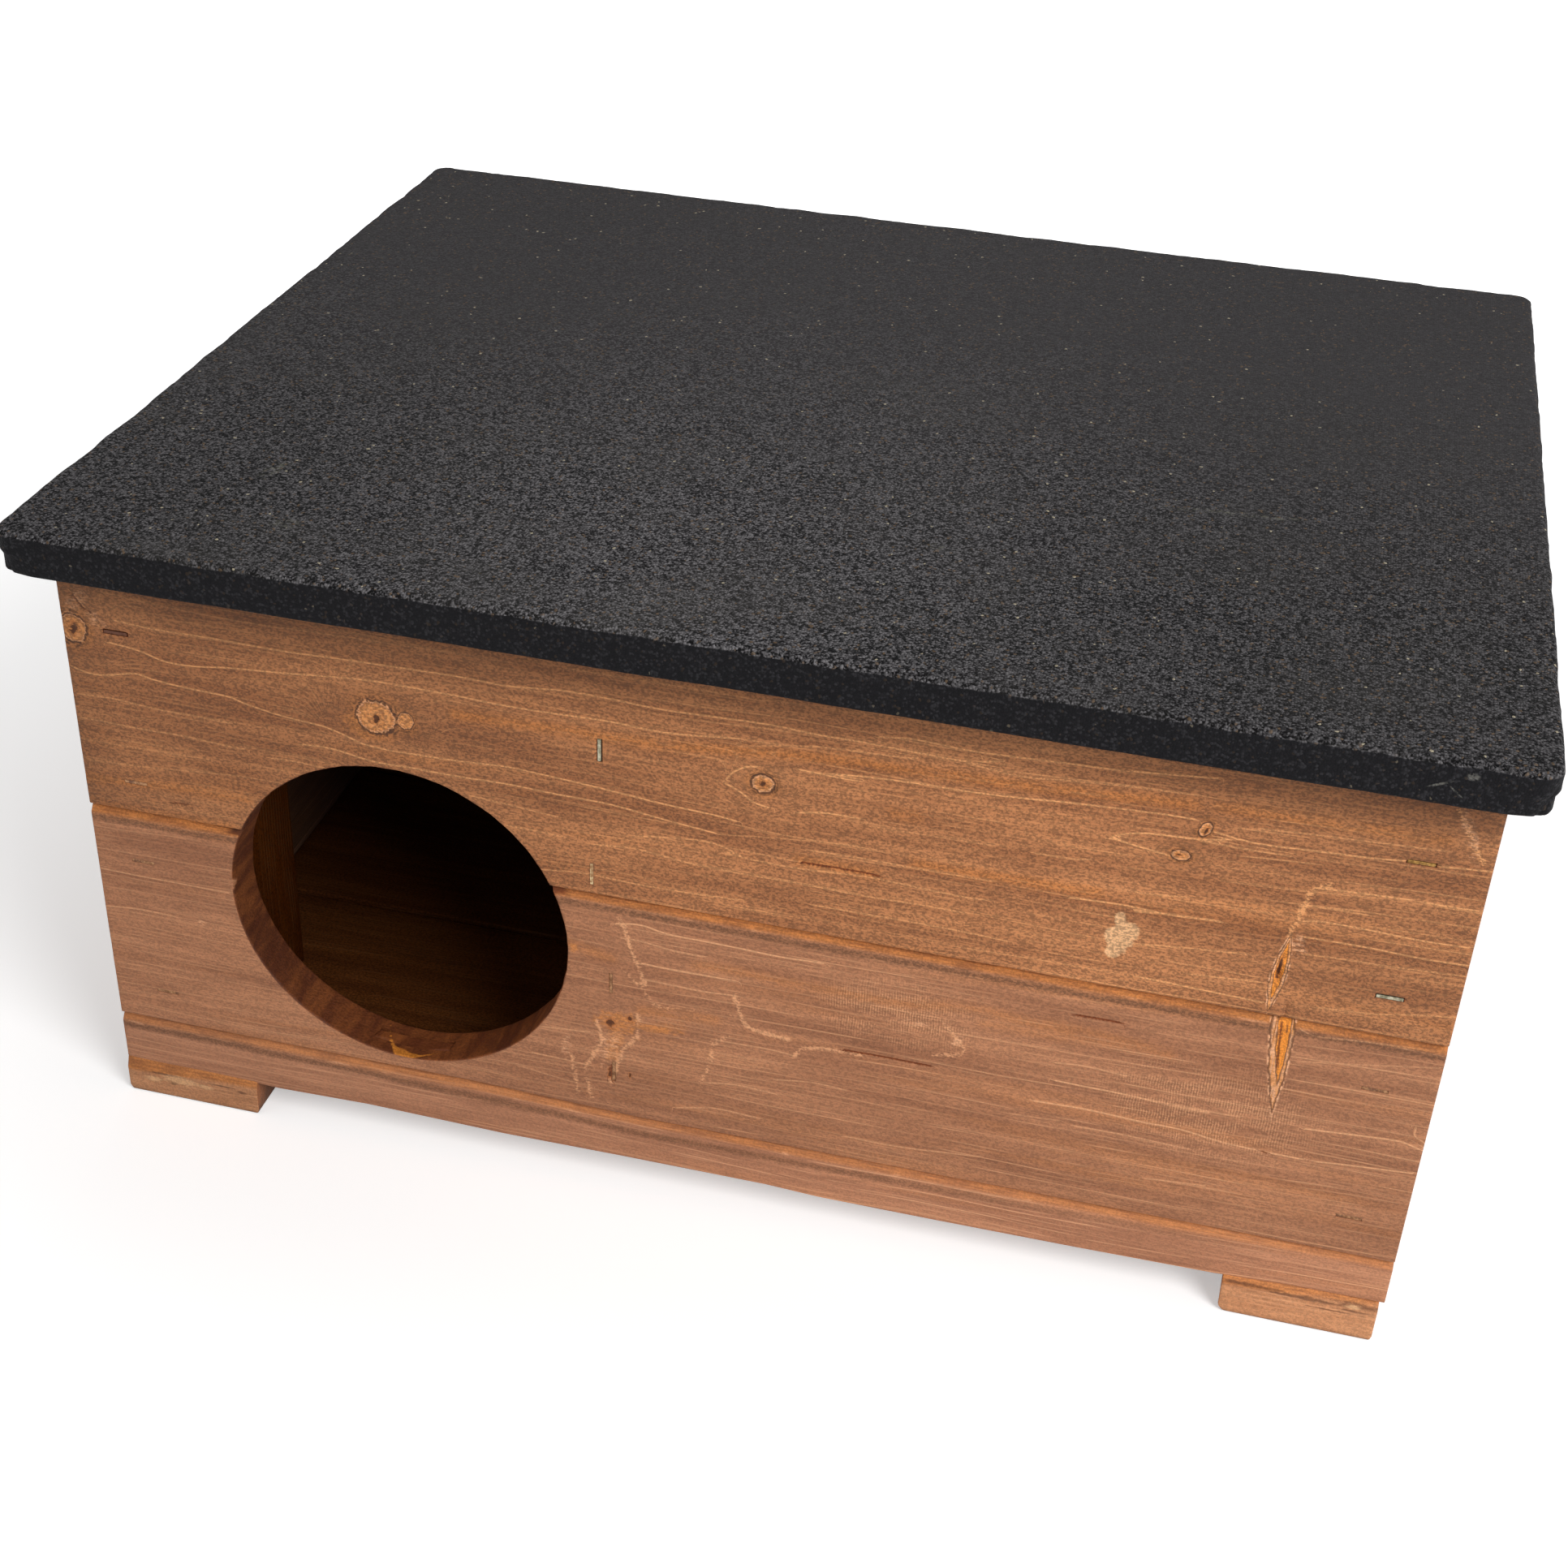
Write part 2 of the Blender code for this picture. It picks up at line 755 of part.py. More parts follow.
def pin_profile():
    """A plain pin between two low round heads."""
    half = HINGE_LENGTH / 2 + FIT
    end = half + PIN_HEAD_HEIGHT
    neck = PIN_HEAD_RADIUS - PIN_HEAD_HEIGHT / 2
    return [
        (0, end),
        (neck, end),
        (PIN_HEAD_RADIUS, half + PIN_HEAD_HEIGHT / 2),
        (PIN_HEAD_RADIUS, half),
        (PIN_RADIUS, half),
        (PIN_RADIUS, -half),
        (PIN_HEAD_RADIUS, -half),
        (PIN_HEAD_RADIUS, -half - PIN_HEAD_HEIGHT / 2),
        (neck, -end),
        (0, -end),
    ]


for side, across in SIDES.items():
    hinge_x = across * (BODY_WIDTH / 2 - HINGE_FROM_END)
    inner_notch = [(0, KNUCKLE_LENGTH + FIT)]
    outer_length = KNUCKLE_LENGTH + OVERRUN + FIT / 2
    outer_centre = KNUCKLE_LENGTH / 2 - FIT / 2 + outer_length / 2
    outer_notches = [(-outer_centre, outer_length), (outer_centre, outer_length)]
    wall_leaf = add_leaf(f"{side}_hinge_wall_leaf", hinge_x, -UPWARDS, inner_notch)
    roof_leaf = on_roof(add_leaf(f"{side}_hinge_roof_leaf", hinge_x, UPWARDS, outer_notches))
    add(
        f"{side}_hinge_pin",
        turned_mesh(f"{side}_hinge_pin", pin_profile(), BARREL_STEPS),
        ZINC,
        frame(Vector((hinge_x, AXIS_Y, AXIS_Z)), BACKWARDS, UPWARDS),
    )
    add_screws(f"{side}_hinge_wall_screw", hinge_x, -1, (wall_leaf, walls["back_top_board"]))
    for screw in add_screws(f"{side}_hinge_roof_screw", hinge_x, 1, (roof_leaf, felt, deck)):
        on_roof(screw)
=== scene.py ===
import math
from collections import defaultdict

import bmesh
import bpy
import numpy as np
from mathutils import Matrix, Vector


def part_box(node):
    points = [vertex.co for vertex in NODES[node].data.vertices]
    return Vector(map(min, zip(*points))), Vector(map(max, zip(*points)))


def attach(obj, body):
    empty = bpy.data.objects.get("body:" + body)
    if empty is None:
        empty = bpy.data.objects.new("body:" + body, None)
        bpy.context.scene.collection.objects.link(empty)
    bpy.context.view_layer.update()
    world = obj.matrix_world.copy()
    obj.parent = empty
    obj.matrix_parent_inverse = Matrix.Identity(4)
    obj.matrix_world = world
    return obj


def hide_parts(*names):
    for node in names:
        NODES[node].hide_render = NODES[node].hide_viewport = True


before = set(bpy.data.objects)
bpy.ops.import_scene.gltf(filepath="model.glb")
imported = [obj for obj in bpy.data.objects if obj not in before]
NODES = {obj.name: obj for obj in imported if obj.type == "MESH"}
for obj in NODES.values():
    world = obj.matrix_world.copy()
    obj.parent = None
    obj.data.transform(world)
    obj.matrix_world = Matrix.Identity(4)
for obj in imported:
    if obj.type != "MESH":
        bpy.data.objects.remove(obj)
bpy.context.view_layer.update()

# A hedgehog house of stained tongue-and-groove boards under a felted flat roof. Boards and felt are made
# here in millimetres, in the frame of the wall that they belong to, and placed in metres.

MM = 0.001
FIXED_BODY, ROOF_BODY = "body", "roof"

# Camera, with the photograph's own square frame
PHOTO_SIZE = 1932
LENS, SENSOR = 52.38, 36.0
CAMERA_PLACE = Vector((0.16034, -0.83014, 0.62029))
CAMERA_RIGHT = Vector((0.9693, 0.243, 0.03757))
CAMERA_UP = Vector((-0.16271, 0.51931, 0.83895))
CAMERA_BACK = Vector((0.18435, -0.81931, 0.5429))

# Boards, in millimetres: their thickness, the play between them, the legs of their chamfers, the tongue,
# and the rounding of their arrises and ends
BOARD_THICKNESS = 18.0
FIT = 0.3
V_LEG = 2.4
LOWER_LEG, UPPER_DROP = 0.5, 3.3
TONGUE_LENGTH, TONGUE_THICKNESS, TONGUE_CHAMFER = 7.5, 5.5, 0.8
ARRIS_RADIUS = 0.55
END_EASE = 0.35
# How far apart the points of a section and the sections of a board lie, on the front, the hidden walls,
# the inner boards and the feet
FRONT_GRID, WALL_GRID, INNER_GRID, FOOT_GRID = (0.8, 1.6), (1.6, 3.2), (2.4, 4.0), (1.0, 1.2)
# The feet's chamfers under the front wall, and the radii of their two lower corners
FOOT_LEGS = {"left": 6.5, "right": 3.0}
FOOT_CORNERS = {"left": (2.4, 1.4), "right": (3.6, 1.6)}
# The front strip was ripped by eye: how far its lower edge and its joint, at JOINT_LEVEL, hang below straight
# lines. Nothing hangs from SAG_TOP up, and only a lip does beyond X of FOOT_ENDS.
EDGE_SAG = ((0, 2.6), (22, 3.5), (53, 3.6), (66, 4.0), (104, 2.9), (161, 3.9), (210, 3.2), (267, 3.0),
            (288, 4.0), (330, 3.8), (385, 3.2), (438, 2.2), (467, 0.5), (500, 0.0))
JOINT_SAG = ((150, 0.0), (215, 1.9), (320, 1.2), (410, 0.3), (440, 0.0))
JOINT_LEVEL, SAG_TOP = 20.0, 33.0
FOOT_ENDS = (57.5, 440.5)
# The way in: its middle, from the front wall's lower left corner, and its radius
HOLE_X, HOLE_Z, HOLE_RADIUS = 122.0, 92.2, 66.25

# The world's directions, and the wall and the roof in it
X_AXIS, Y_AXIS, Z_AXIS = Vector((1, 0, 0)), Vector((0, 1, 0)), Vector((0, 0, 1))
WALL_LEFT, WALL_FRONT, WALL_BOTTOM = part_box("front_bottom_strip")[0]
FELT_LOW, FELT_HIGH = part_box("roofing_felt")
DECK_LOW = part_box("roof_deck")[0]


def linked(name, data):
    """An object of this name in the scene."""
    piece = bpy.data.objects.new(name, data)
    bpy.context.scene.collection.objects.link(piece)
    return piece


def camera():
    data = bpy.data.cameras.new("camera")
    data.lens, data.sensor_width, data.sensor_fit = LENS, SENSOR, "AUTO"
    data.clip_start, data.clip_end = 0.01, 50.0
    piece = linked("camera", data)
    turn = Matrix((CAMERA_RIGHT, CAMERA_UP, CAMERA_BACK)).transposed().to_4x4()
    piece.matrix_world = Matrix.Translation(CAMERA_PLACE) @ turn
    bpy.context.scene.camera = piece


def on_front(pixel):
    """The point of the front wall's face that a pixel of the photograph shows, in the wall's millimetres."""
    half = PHOTO_SIZE / 2
    per_pixel = SENSOR / LENS / PHOTO_SIZE
    across, up = (pixel[0] - half) * per_pixel, (half - pixel[1]) * per_pixel
    ray = CAMERA_RIGHT * across + CAMERA_UP * up - CAMERA_BACK
    point = CAMERA_PLACE + ray * ((WALL_FRONT - CAMERA_PLACE.y) / ray.y)
    return (point.x - WALL_LEFT) / MM, (point.z - WALL_BOTTOM) / MM


# What the front boards show, as pixels of the photograph: pale scratched lines along the grain, with the
# strength of each
PALE_LINES = (
    (1.0, (140, 764), (188, 775), (258, 786), (347, 802), (427, 813), (560, 833), (624, 845), (694, 851),
     (751, 861), (821, 875), (943, 892), (1006, 905), (1060, 914), (1128, 927), (1191, 938), (1233, 938)),
    (1.0, (133, 791), (172, 802), (203, 815), (239, 821), (283, 823), (347, 829), (443, 837), (506, 847),
     (560, 857), (624, 870), (688, 880), (751, 889), (815, 902), (879, 908), (911, 910)),
    (1.0, (87, 820), (108, 829), (130, 832), (165, 830), (188, 837), (226, 847), (280, 858), (302, 867),
     (347, 882), (398, 895), (427, 907), (449, 917), (484, 925), (560, 937), (624, 945), (688, 959),
     (751, 974), (815, 990), (879, 1004), (908, 1012)),
    (0.65, (98, 855), (140, 861), (194, 874), (239, 882), (283, 891)),
    (0.65, (98, 884), (124, 888), (172, 898), (226, 907), (283, 920), (302, 923)),
    (1.0, (372, 917), (411, 923), (459, 938), (506, 946), (560, 956), (624, 966), (688, 979), (751, 991),
     (815, 1009), (879, 1026)),
    (0.65, (334, 934), (363, 938), (398, 946)),
    (0.4, (101, 910), (188, 925), (258, 936)),
    (0.4, (108, 936), (188, 946), (283, 955), (347, 965)),
    (0.4, (124, 729), (219, 751), (315, 769), (379, 778), (475, 792), (560, 805)),
    (0.65, (579, 980), (624, 991), (688, 1007)),
    (0.65, (624, 1017), (656, 1023), (694, 1031)),
    (0.65, (735, 1041), (783, 1046), (847, 1063), (911, 1076), (975, 1087), (1064, 1104), (1128, 1114),
     (1191, 1125)),
    (0.65, (665, 1071), (719, 1076), (783, 1089), (847, 1100), (911, 1109)),
    (0.65, (783, 1030), (834, 1033), (879, 1039), (917, 1057)),
    (1.0, (984, 948), (1022, 956), (1060, 963)),
    (1.0, (984, 1001), (1019, 1002), (1060, 1009)),
    (0.4, (911, 920), (975, 919), (1060, 924)),
    (0.4, (700, 824), (783, 837), (879, 853), (943, 864)),
    (0.4, (885, 1028), (975, 1034), (1060, 1042)),
    (0.65, (895, 1052), (975, 1069), (1064, 1080), (1128, 1093), (1191, 1106), (1220, 1109)),
    (1.0, (1083, 908), (1128, 911), (1191, 924), (1255, 933), (1319, 941), (1383, 949), (1500, 959)),
    (1.0, (1000, 952), (1064, 957), (1128, 965), (1191, 975), (1255, 983), (1319, 989), (1383, 997),
     (1432, 1003), (1475, 1010)),
    (0.65, (1191, 940), (1255, 956), (1319, 962), (1383, 968), (1478, 980)),
    (0.65, (1000, 919), (1048, 925), (1128, 935)),
    (0.4, (1073, 1018), (1159, 1032), (1223, 1042)),
    (0.65, (1000, 1048), (1064, 1058), (1128, 1070), (1223, 1086)),
    (0.65, (1000, 1115), (1064, 1126), (1128, 1137), (1191, 1149), (1242, 1160)),
    (0.65, (1274, 1051), (1319, 1058), (1341, 1059)),
    (1.0, (1319, 1106), (1383, 1115), (1446, 1128), (1500, 1134)),
    (0.4, (1383, 1096), (1440, 1106)),
    (1.0, (1368, 1032), (1383, 1028), (1415, 1027), (1478, 1034), (1528, 1034)),
    (1.0, (1368, 1032), (1399, 1042), (1430, 1051), (1442, 1055)),
    (1.0, (1496, 1025), (1528, 1034), (1559, 1041), (1623, 1049), (1687, 1057), (1735, 1061)),
    (1.0, (1776, 1068), (1808, 1071), (1838, 1074)),
    (0.65, (1480, 1036), (1528, 1045), (1591, 1055)),
    (0.65, (1553, 1021), (1623, 1029), (1687, 1037), (1783, 1049)),
    (1.0, (1623, 1094), (1655, 1098), (1693, 1103), (1738, 1109)),
    (1.0, (1754, 1112), (1783, 1117), (1830, 1124)),
    (0.65, (1607, 1116), (1639, 1120), (1687, 1128)),
    (1.0, (1604, 1135), (1630, 1136), (1687, 1146), (1751, 1159), (1811, 1168)),
    (1.0, (1604, 1154), (1623, 1157), (1687, 1168), (1751, 1181), (1808, 1190)),
    (0.65, (1607, 1176), (1655, 1182), (1719, 1192), (1805, 1203)),
    (0.65, (1400, 1100), (1464, 1106)),
    (1.0, (1400, 1123), (1441, 1127), (1505, 1136)),
    (0.65, (1400, 1163), (1464, 1168), (1537, 1176)),
    (1.0, (1400, 1203), (1464, 1216), (1512, 1226), (1556, 1235)),
    (0.65, (1464, 1200), (1553, 1210)),
    (0.65, (1623, 1241), (1687, 1249), (1751, 1251), (1792, 1254)),
    (0.65, (122, 1069), (170, 1079), (218, 1088), (281, 1100)),
    (0.65, (131, 1116), (170, 1120), (218, 1130)),
    (1.0, (759, 1138), (790, 1140), (822, 1151), (868, 1160), (908, 1168), (961, 1179), (1015, 1187)),
    (0.65, (766, 1156), (790, 1160), (828, 1171), (868, 1179)),
    (1.0, (790, 1187), (828, 1195), (868, 1202), (908, 1209)),
    (0.65, (795, 1207), (828, 1214), (868, 1222), (908, 1227)),
    (0.65, (881, 1281), (908, 1286), (948, 1293), (980, 1301)),
    (0.65, (868, 1334), (908, 1337), (956, 1348)),
    (0.65, (833, 1363), (881, 1365), (935, 1377)),
    (0.65, (956, 1330), (1002, 1334), (1042, 1343)),
    (0.65, (656, 1297), (694, 1305), (728, 1313)),
    (0.65, (667, 1265), (694, 1268), (726, 1272)),
    (0.4, (640, 1313), (694, 1329), (728, 1337)),
    (1.0, (1299, 1331), (1338, 1339), (1388, 1349), (1438, 1361), (1488, 1371)),
    (1.0, (1272, 1356), (1338, 1367), (1405, 1382), (1455, 1392), (1504, 1407), (1557, 1419), (1607, 1429)),
    (0.65, (1299, 1309), (1338, 1314), (1388, 1326)),
    (0.65, (1322, 1387), (1388, 1399), (1461, 1415)),
    (0.4, (1246, 1372), (1305, 1381)),
    (0.65, (1040, 1399), (1106, 1412), (1206, 1425)),
    (0.65, (1380, 1348), (1441, 1360), (1502, 1372), (1527, 1376)),
    (1.0, (1607, 1391), (1656, 1397), (1717, 1405), (1732, 1409), (1750, 1417)),
    (1.0, (1619, 1431), (1671, 1437), (1741, 1446)),
    (0.65, (1411, 1452), (1484, 1461)),
    (0.4, (1603, 1308), (1656, 1311), (1775, 1316)),
    (0.65, (1744, 1391), (1743, 1400), (1752, 1406), (1755, 1409)),
    (1.0, (892, 963), (904, 951), (920, 945), (931, 945)),
    (1.0, (892, 964), (914, 977), (927, 988), (947, 995)),
    (0.6, (84, 727), (97, 740), (108, 754), (118, 768), (126, 776)),
    (0.7, (484, 874), (492, 880), (496, 889), (492, 897)),
    (1.0, (1603, 1269), (1622, 1277), (1675, 1283), (1734, 1291), (1785, 1298)),
)
# Broad soft edges of torn wood
TORN_EDGES = (
    (1.0, (762, 1130), (769, 1142), (774, 1158), (779, 1174), (786, 1190), (793, 1206), (794, 1213)),
    (0.7, (761, 1187), (779, 1206), (793, 1219), (803, 1234), (814, 1242)),
    (0.6, (814, 1242), (860, 1246), (908, 1251)),
    (1.0, (906, 1226), (911, 1246), (921, 1265), (943, 1273), (972, 1281)),
    (0.8, (862, 1334), (870, 1321), (876, 1302), (881, 1284), (897, 1278)),
    (1.0, (1640, 1091), (1623, 1094), (1612, 1106), (1604, 1123), (1598, 1136), (1591, 1146), (1588, 1159)),
    (1.0, (734, 1257), (739, 1268), (742, 1284), (734, 1294), (726, 1310)),
    (1.0, (787, 1251), (786, 1273), (777, 1286), (766, 1294), (761, 1313), (753, 1332)),
    (0.8, (758, 1268), (755, 1284), (753, 1294)),
    (0.9, (1799, 999), (1811, 1027), (1817, 1043), (1829, 1064)),
    (0.8, (722, 1310), (724, 1330), (729, 1350)),
    (0.8, (705, 1300), (708, 1320), (712, 1345)),
    (0.8, (978, 1302), (988, 1292), (1015, 1292), (1060, 1300)),
    (0.8, (1164, 1262), (1180, 1282), (1186, 1298), (1150, 1300)),
)
# Broad soft orange bands, and dark narrow checks
AMBER_BANDS = (
    (1.0, (560, 880), (688, 899), (815, 918), (943, 928), (1060, 937)),
    (1.0, (1000, 933), (1128, 949), (1255, 967), (1383, 981), (1472, 991)),
    (0.8, (1502, 994), (1623, 1012), (1783, 1036)),
    (0.9, (1128, 1064), (1223, 1080), (1351, 1099)),
    (0.9, (984, 1061), (1032, 1069), (1080, 1078)),
    (0.8, (108, 957), (219, 971), (302, 987)),
    (0.9, (114, 999), (188, 1007), (283, 1021)),
    (0.8, (790, 1246), (841, 1251), (881, 1257)),
    (0.8, (801, 1268), (838, 1265)),
    (0.7, (1102, 1003), (1128, 1007)),
    (0.7, (858, 1190), (907, 1197), (961, 1210), (1037, 1223), (1108, 1237), (1197, 1243), (1321, 1275)),
    (0.8, (703, 1163), (728, 1172), (752, 1181)),
    (0.5, (1212, 1262), (1300, 1276), (1400, 1290)),
    (0.6, (1290, 1262), (1340, 1272), (1400, 1287), (1440, 1300)),
)
DARK_CHECKS = (
    (1.0, (988, 1063), (1060, 1075), (1083, 1080)),
    (1.0, (1325, 1251), (1355, 1256), (1382, 1261)),
    (1.0, (1040, 1294), (1090, 1303), (1146, 1314)),
    (0.8, (129, 777), (157, 782)),
    (0.7, (213, 989), (232, 992)),
    (0.8, (88, 732), (99, 747), (111, 755)),
    (0.9, (1579, 1262), (1576, 1287), (1574, 1311)),
    (0.9, (751, 1316), (755, 1332)),
    (0.9, (1555, 1419), (1560, 1421)),
)
# Ovals on the front: centre pixel, half width and half height in millimetres, and the tilt in degrees.
# They are bare wood, wood that the saw has torn, amber patches, and knots.
BARE_PLACES = (
    ((1379, 1155), 4.8, 7.2, 8),
    ((1390, 1148), 3.6, 4.0, 0),
    ((1380, 1135), 2.0, 4.4, 0),
    ((1371, 1171), 2.7, 3.2, 0),
)
TORN_PLACES = (
    ((93, 740), 3.4, 7.0, 30),
    ((112, 762), 4.4, 3.2, 40),
    ((84, 756), 2.2, 6.0, 0),
    ((1812, 1030), 2.0, 11.0, -22),
    ((1600, 1165), 2.2, 5.0, -10),
    ((250, 1137), 2.4, 0.9, 10),
    ((1783, 1389), 3.2, 1.0, 5),
    ((752, 1292), 5.0, 8.5, 20),
    ((1130, 1262), 7.0, 1.6, 0),
    ((1180, 1285), 2.0, 3.5, 15),
    ((698, 1290), 2.0, 6.0, 0),
)
AMBER_PLACES = (
    ((760, 1260), 8.6, 5.4, 0),
    ((757, 1288), 3.2, 9.0, 12),
    ((806, 1268), 10.0, 1.6, 0),
    ((708, 1168), 1.8, 2.6, 0),
    ((94, 772), 5.6, 6.2, 0),
    ((450, 893), 8.0, 5.0, 0),
)
FRONT_KNOTS = (
    ((463, 884), 7.4, 7.0, 0),
    ((500, 889), 3.0, 3.6, 0),
    ((90, 774), 5.5, 6.0, 0),
)
SMALL_KNOTS = (
    ((940, 966), 4.2, 3.8, 0),
    ((1486, 1022), 1.9, 3.2, 25),
    ((1455, 1054), 3.2, 2.1, 0),
)
# The dark hearts of the knots
FRONT_PITHS = (
    ((463, 886), 1.1, 1.7, 10),
    ((940, 966), 1.0, 1.2, 0),
    ((1487, 1024), 0.5, 1.4, 25),
    ((1453, 1054), 0.9, 0.5, 0),
    ((90, 774), 1.4, 2.2, 10),
    ((752, 1261), 1.5, 2.0, 0),
    ((776, 1256), 0.9, 1.2, 0),
    ((751, 1323), 0.7, 1.8, 0),
    ((776, 1325), 0.5, 1.0, 0),
    ((1577, 1192), 0.6, 5.0, 4),
)
# Knots cut along their length, wide in the middle and pointed: the pale outer blade and the orange inner one
FRONT_SPIKES = (
    ((1576, 1199), 2.5, 16.5, 5),
    ((1581, 1262), 3.9, 39.0, -3),
)
SPIKE_CORES = (
    ((1577, 1196), 1.5, 12.5, 5),
    ((1583, 1262), 2.3, 26.0, -3),
)
# The heights above which nothing of each shows. The second ends at the joint.
SPIKE_TOPS = (240.0, 120.0)
# Where the planer has chattered, and how far out of these ovals its ribs reach
COMB_PLACES = (
    ((1490, 1370), 44.0, 24.0, 0),
    ((1103, 1250), 34.0, 17.0, 0),
)
COMB_EDGE = 1.15
# A sliver without stain and a broken-out chip, both at the way in's rim
RAW_PLACE = (494, 1296)
CHIP_PLACE, CHIP_SIZE = (287, 1090), 3.2
# How far from a stroke it still counts, and the half widths of the soft strokes, in millimetres
THIN_REACH, TORN_REACH, AMBER_REACH = 2.6, 4.0, 6.0
TORN_WIDTH, AMBER_WIDTH = 1.35, 2.3
# How many runs a stroke has from point to point, and the distance from an oval beyond which none counts
CURVE_STEPS = 4
FURTHEST = 4.0
# Shade painted on the front under the roof's overhang: from and to which height, and by what share
ROOF_SHADE_HEIGHTS, ROOF_SHADE = (194, 216), 0.3
# What is given to a board's "below_arris" where it has no arris
FAR = 9.0


def hashed(column, row, seed):
    """A steady pseudo-random number from 0 to 1 for each cell of a grid."""
    mask = 0xFFFFFFFF
    value = (column * 374761393 + row * 668265263 + seed * 974634777) & mask
    value = ((value ^ (value >> 13)) * 1274126177) & mask
    return ((value ^ (value >> 16)) & 0xFFFF) / 65535.0


def smooth_noise(x, z, width, height, seed):
    """Smooth noise from -1 to 1, whose lumps are width by height."""
    across, up = np.asarray(x) / width, np.asarray(z) / height
    column, row = np.floor(across).astype(np.int64), np.floor(up).astype(np.int64)
    right, top = across - column, up - row
    right, top = right * right * (3 - 2 * right), top * top * (3 - 2 * top)
    low = hashed(column, row, seed) * (1 - right) + hashed(column + 1, row, seed) * right
    high = hashed(column, row + 1, seed) * (1 - right) + hashed(column + 1, row + 1, seed) * right
    return 2 * (low * (1 - top) + high * top) - 1


def fade(value, low, high):
    """0 below low and 1 above high, smooth between them."""
    share = np.clip((value - low) / (high - low), 0, 1)
    return share * share * (3 - 2 * share)


def bell(value, width):
    """1 at 0, falling off over this width."""
    return np.exp(-((value / width) ** 2))


def smoothed(points):
    """A curve through the points, in short runs."""
    points = [Vector(point) for point in points]
    padded = [2 * points[0] - points[1]] + points + [2 * points[-1] - points[-2]]
    result = []
    for before, start, end, after in zip(padded, padded[1:], padded[2:], padded[3:]):
        for step in range(CURVE_STEPS):
            t = step / CURVE_STEPS
            bend = (2 * before - 5 * start + 4 * end - after) * t * t
            bend += (3 * start - before - 3 * end + after) * t * t * t
            result.append(start + ((end - before) * t + bend) / 2)
    return result + [points[-1]]


def stroke_field(strokes, x, z, reach):
    """For each point the signed distance to the nearest stroke and that stroke's strength there."""
    nearest, signed, strength = np.full(x.shape, reach), np.full(x.shape, reach), np.zeros(x.shape)
    for force, *points in strokes:
        places = smoothed([on_front(point) for point in points])
        for (x0, z0), (x1, z1) in zip(places, places[1:]):
            close = (x > min(x0, x1) - reach) & (x < max(x0, x1) + reach)
            close &= (z > min(z0, z1) - reach) & (z < max(z0, z1) + reach)
            where = np.nonzero(close)[0]
            if not len(where):
                continue
            run = Vector((x1 - x0, z1 - z0))
            length = max(run.length, 1e-6)
            along = ((x[where] - x0) * run.x + (z[where] - z0) * run.y) / length
            side = ((z[where] - z0) * run.x - (x[where] - x0) * run.y) / length
            distance = np.hypot(side, along - np.clip(along, 0, length))
            better = distance < nearest[where]
            where, distance, side = where[better], distance[better], side[better]
            nearest[where] = distance
            signed[where] = np.where(side < 0, -distance, distance)
            strength[where] = force * (1 - fade(distance, reach * 0.6, reach))
    return signed, strength


def oval_distance(shape, x, z):
    """The distance from an oval's centre in its own radii."""
    x0, z0, half_width, half_height, tilt = shape
    turn = math.radians(tilt)
    across = (x - x0) * math.cos(turn) - (z - z0) * math.sin(turn)
    up = (x - x0) * math.sin(turn) + (z - z0) * math.cos(turn)
    return np.hypot(across / half_width, up / half_height)


def nearest_oval(shapes, x, z):
    nearest = np.full(x.shape, FURTHEST)
    for shape in shapes:
        nearest = np.minimum(nearest, oval_distance(shape, x, z))
    return nearest


def on_wall(shapes):
    """Ovals placed by pixel, as ovals in the front wall's millimetres."""
    return [(*on_front(pixel), *rest) for pixel, *rest in shapes]


def flow_round(knots, x, z, ring):
    """The ring field where it flows round the knots."""
    for knot in knots:
        pinch = bell(oval_distance(knot, x, z), 1.7)
        ring = ring * (1 - pinch) + knot[1] * pinch
    return ring


def linear(red, green, blue):
    """A screen colour from 0 to 255 as the linear colour that a shader takes."""
    shares = [value / 255 for value in (red, green, blue)]
    return tuple(s / 12.92 if s <= 0.04045 else ((s + 0.055) / 1.055) ** 2.4 for s in shares) + (1.0,)


class Value:
    """What a node gives. Arithmetic with it adds the nodes that work it out."""

    def __init__(self, nodes, socket):
        self.nodes, self.socket = nodes, socket

    def __add__(self, other):
        return self.nodes.math("ADD", self, other)

    def __radd__(self, other):
        return self.nodes.math("ADD", other, self)

    def __sub__(self, other):
        return self.nodes.math("SUBTRACT", self, other)

    def __rsub__(self, other):
        return self.nodes.math("SUBTRACT", other, self)

    def __mul__(self, other):
        return self.nodes.math("MULTIPLY", self, other)

    def __abs__(self):
        return self.nodes.math("ABSOLUTE", self)


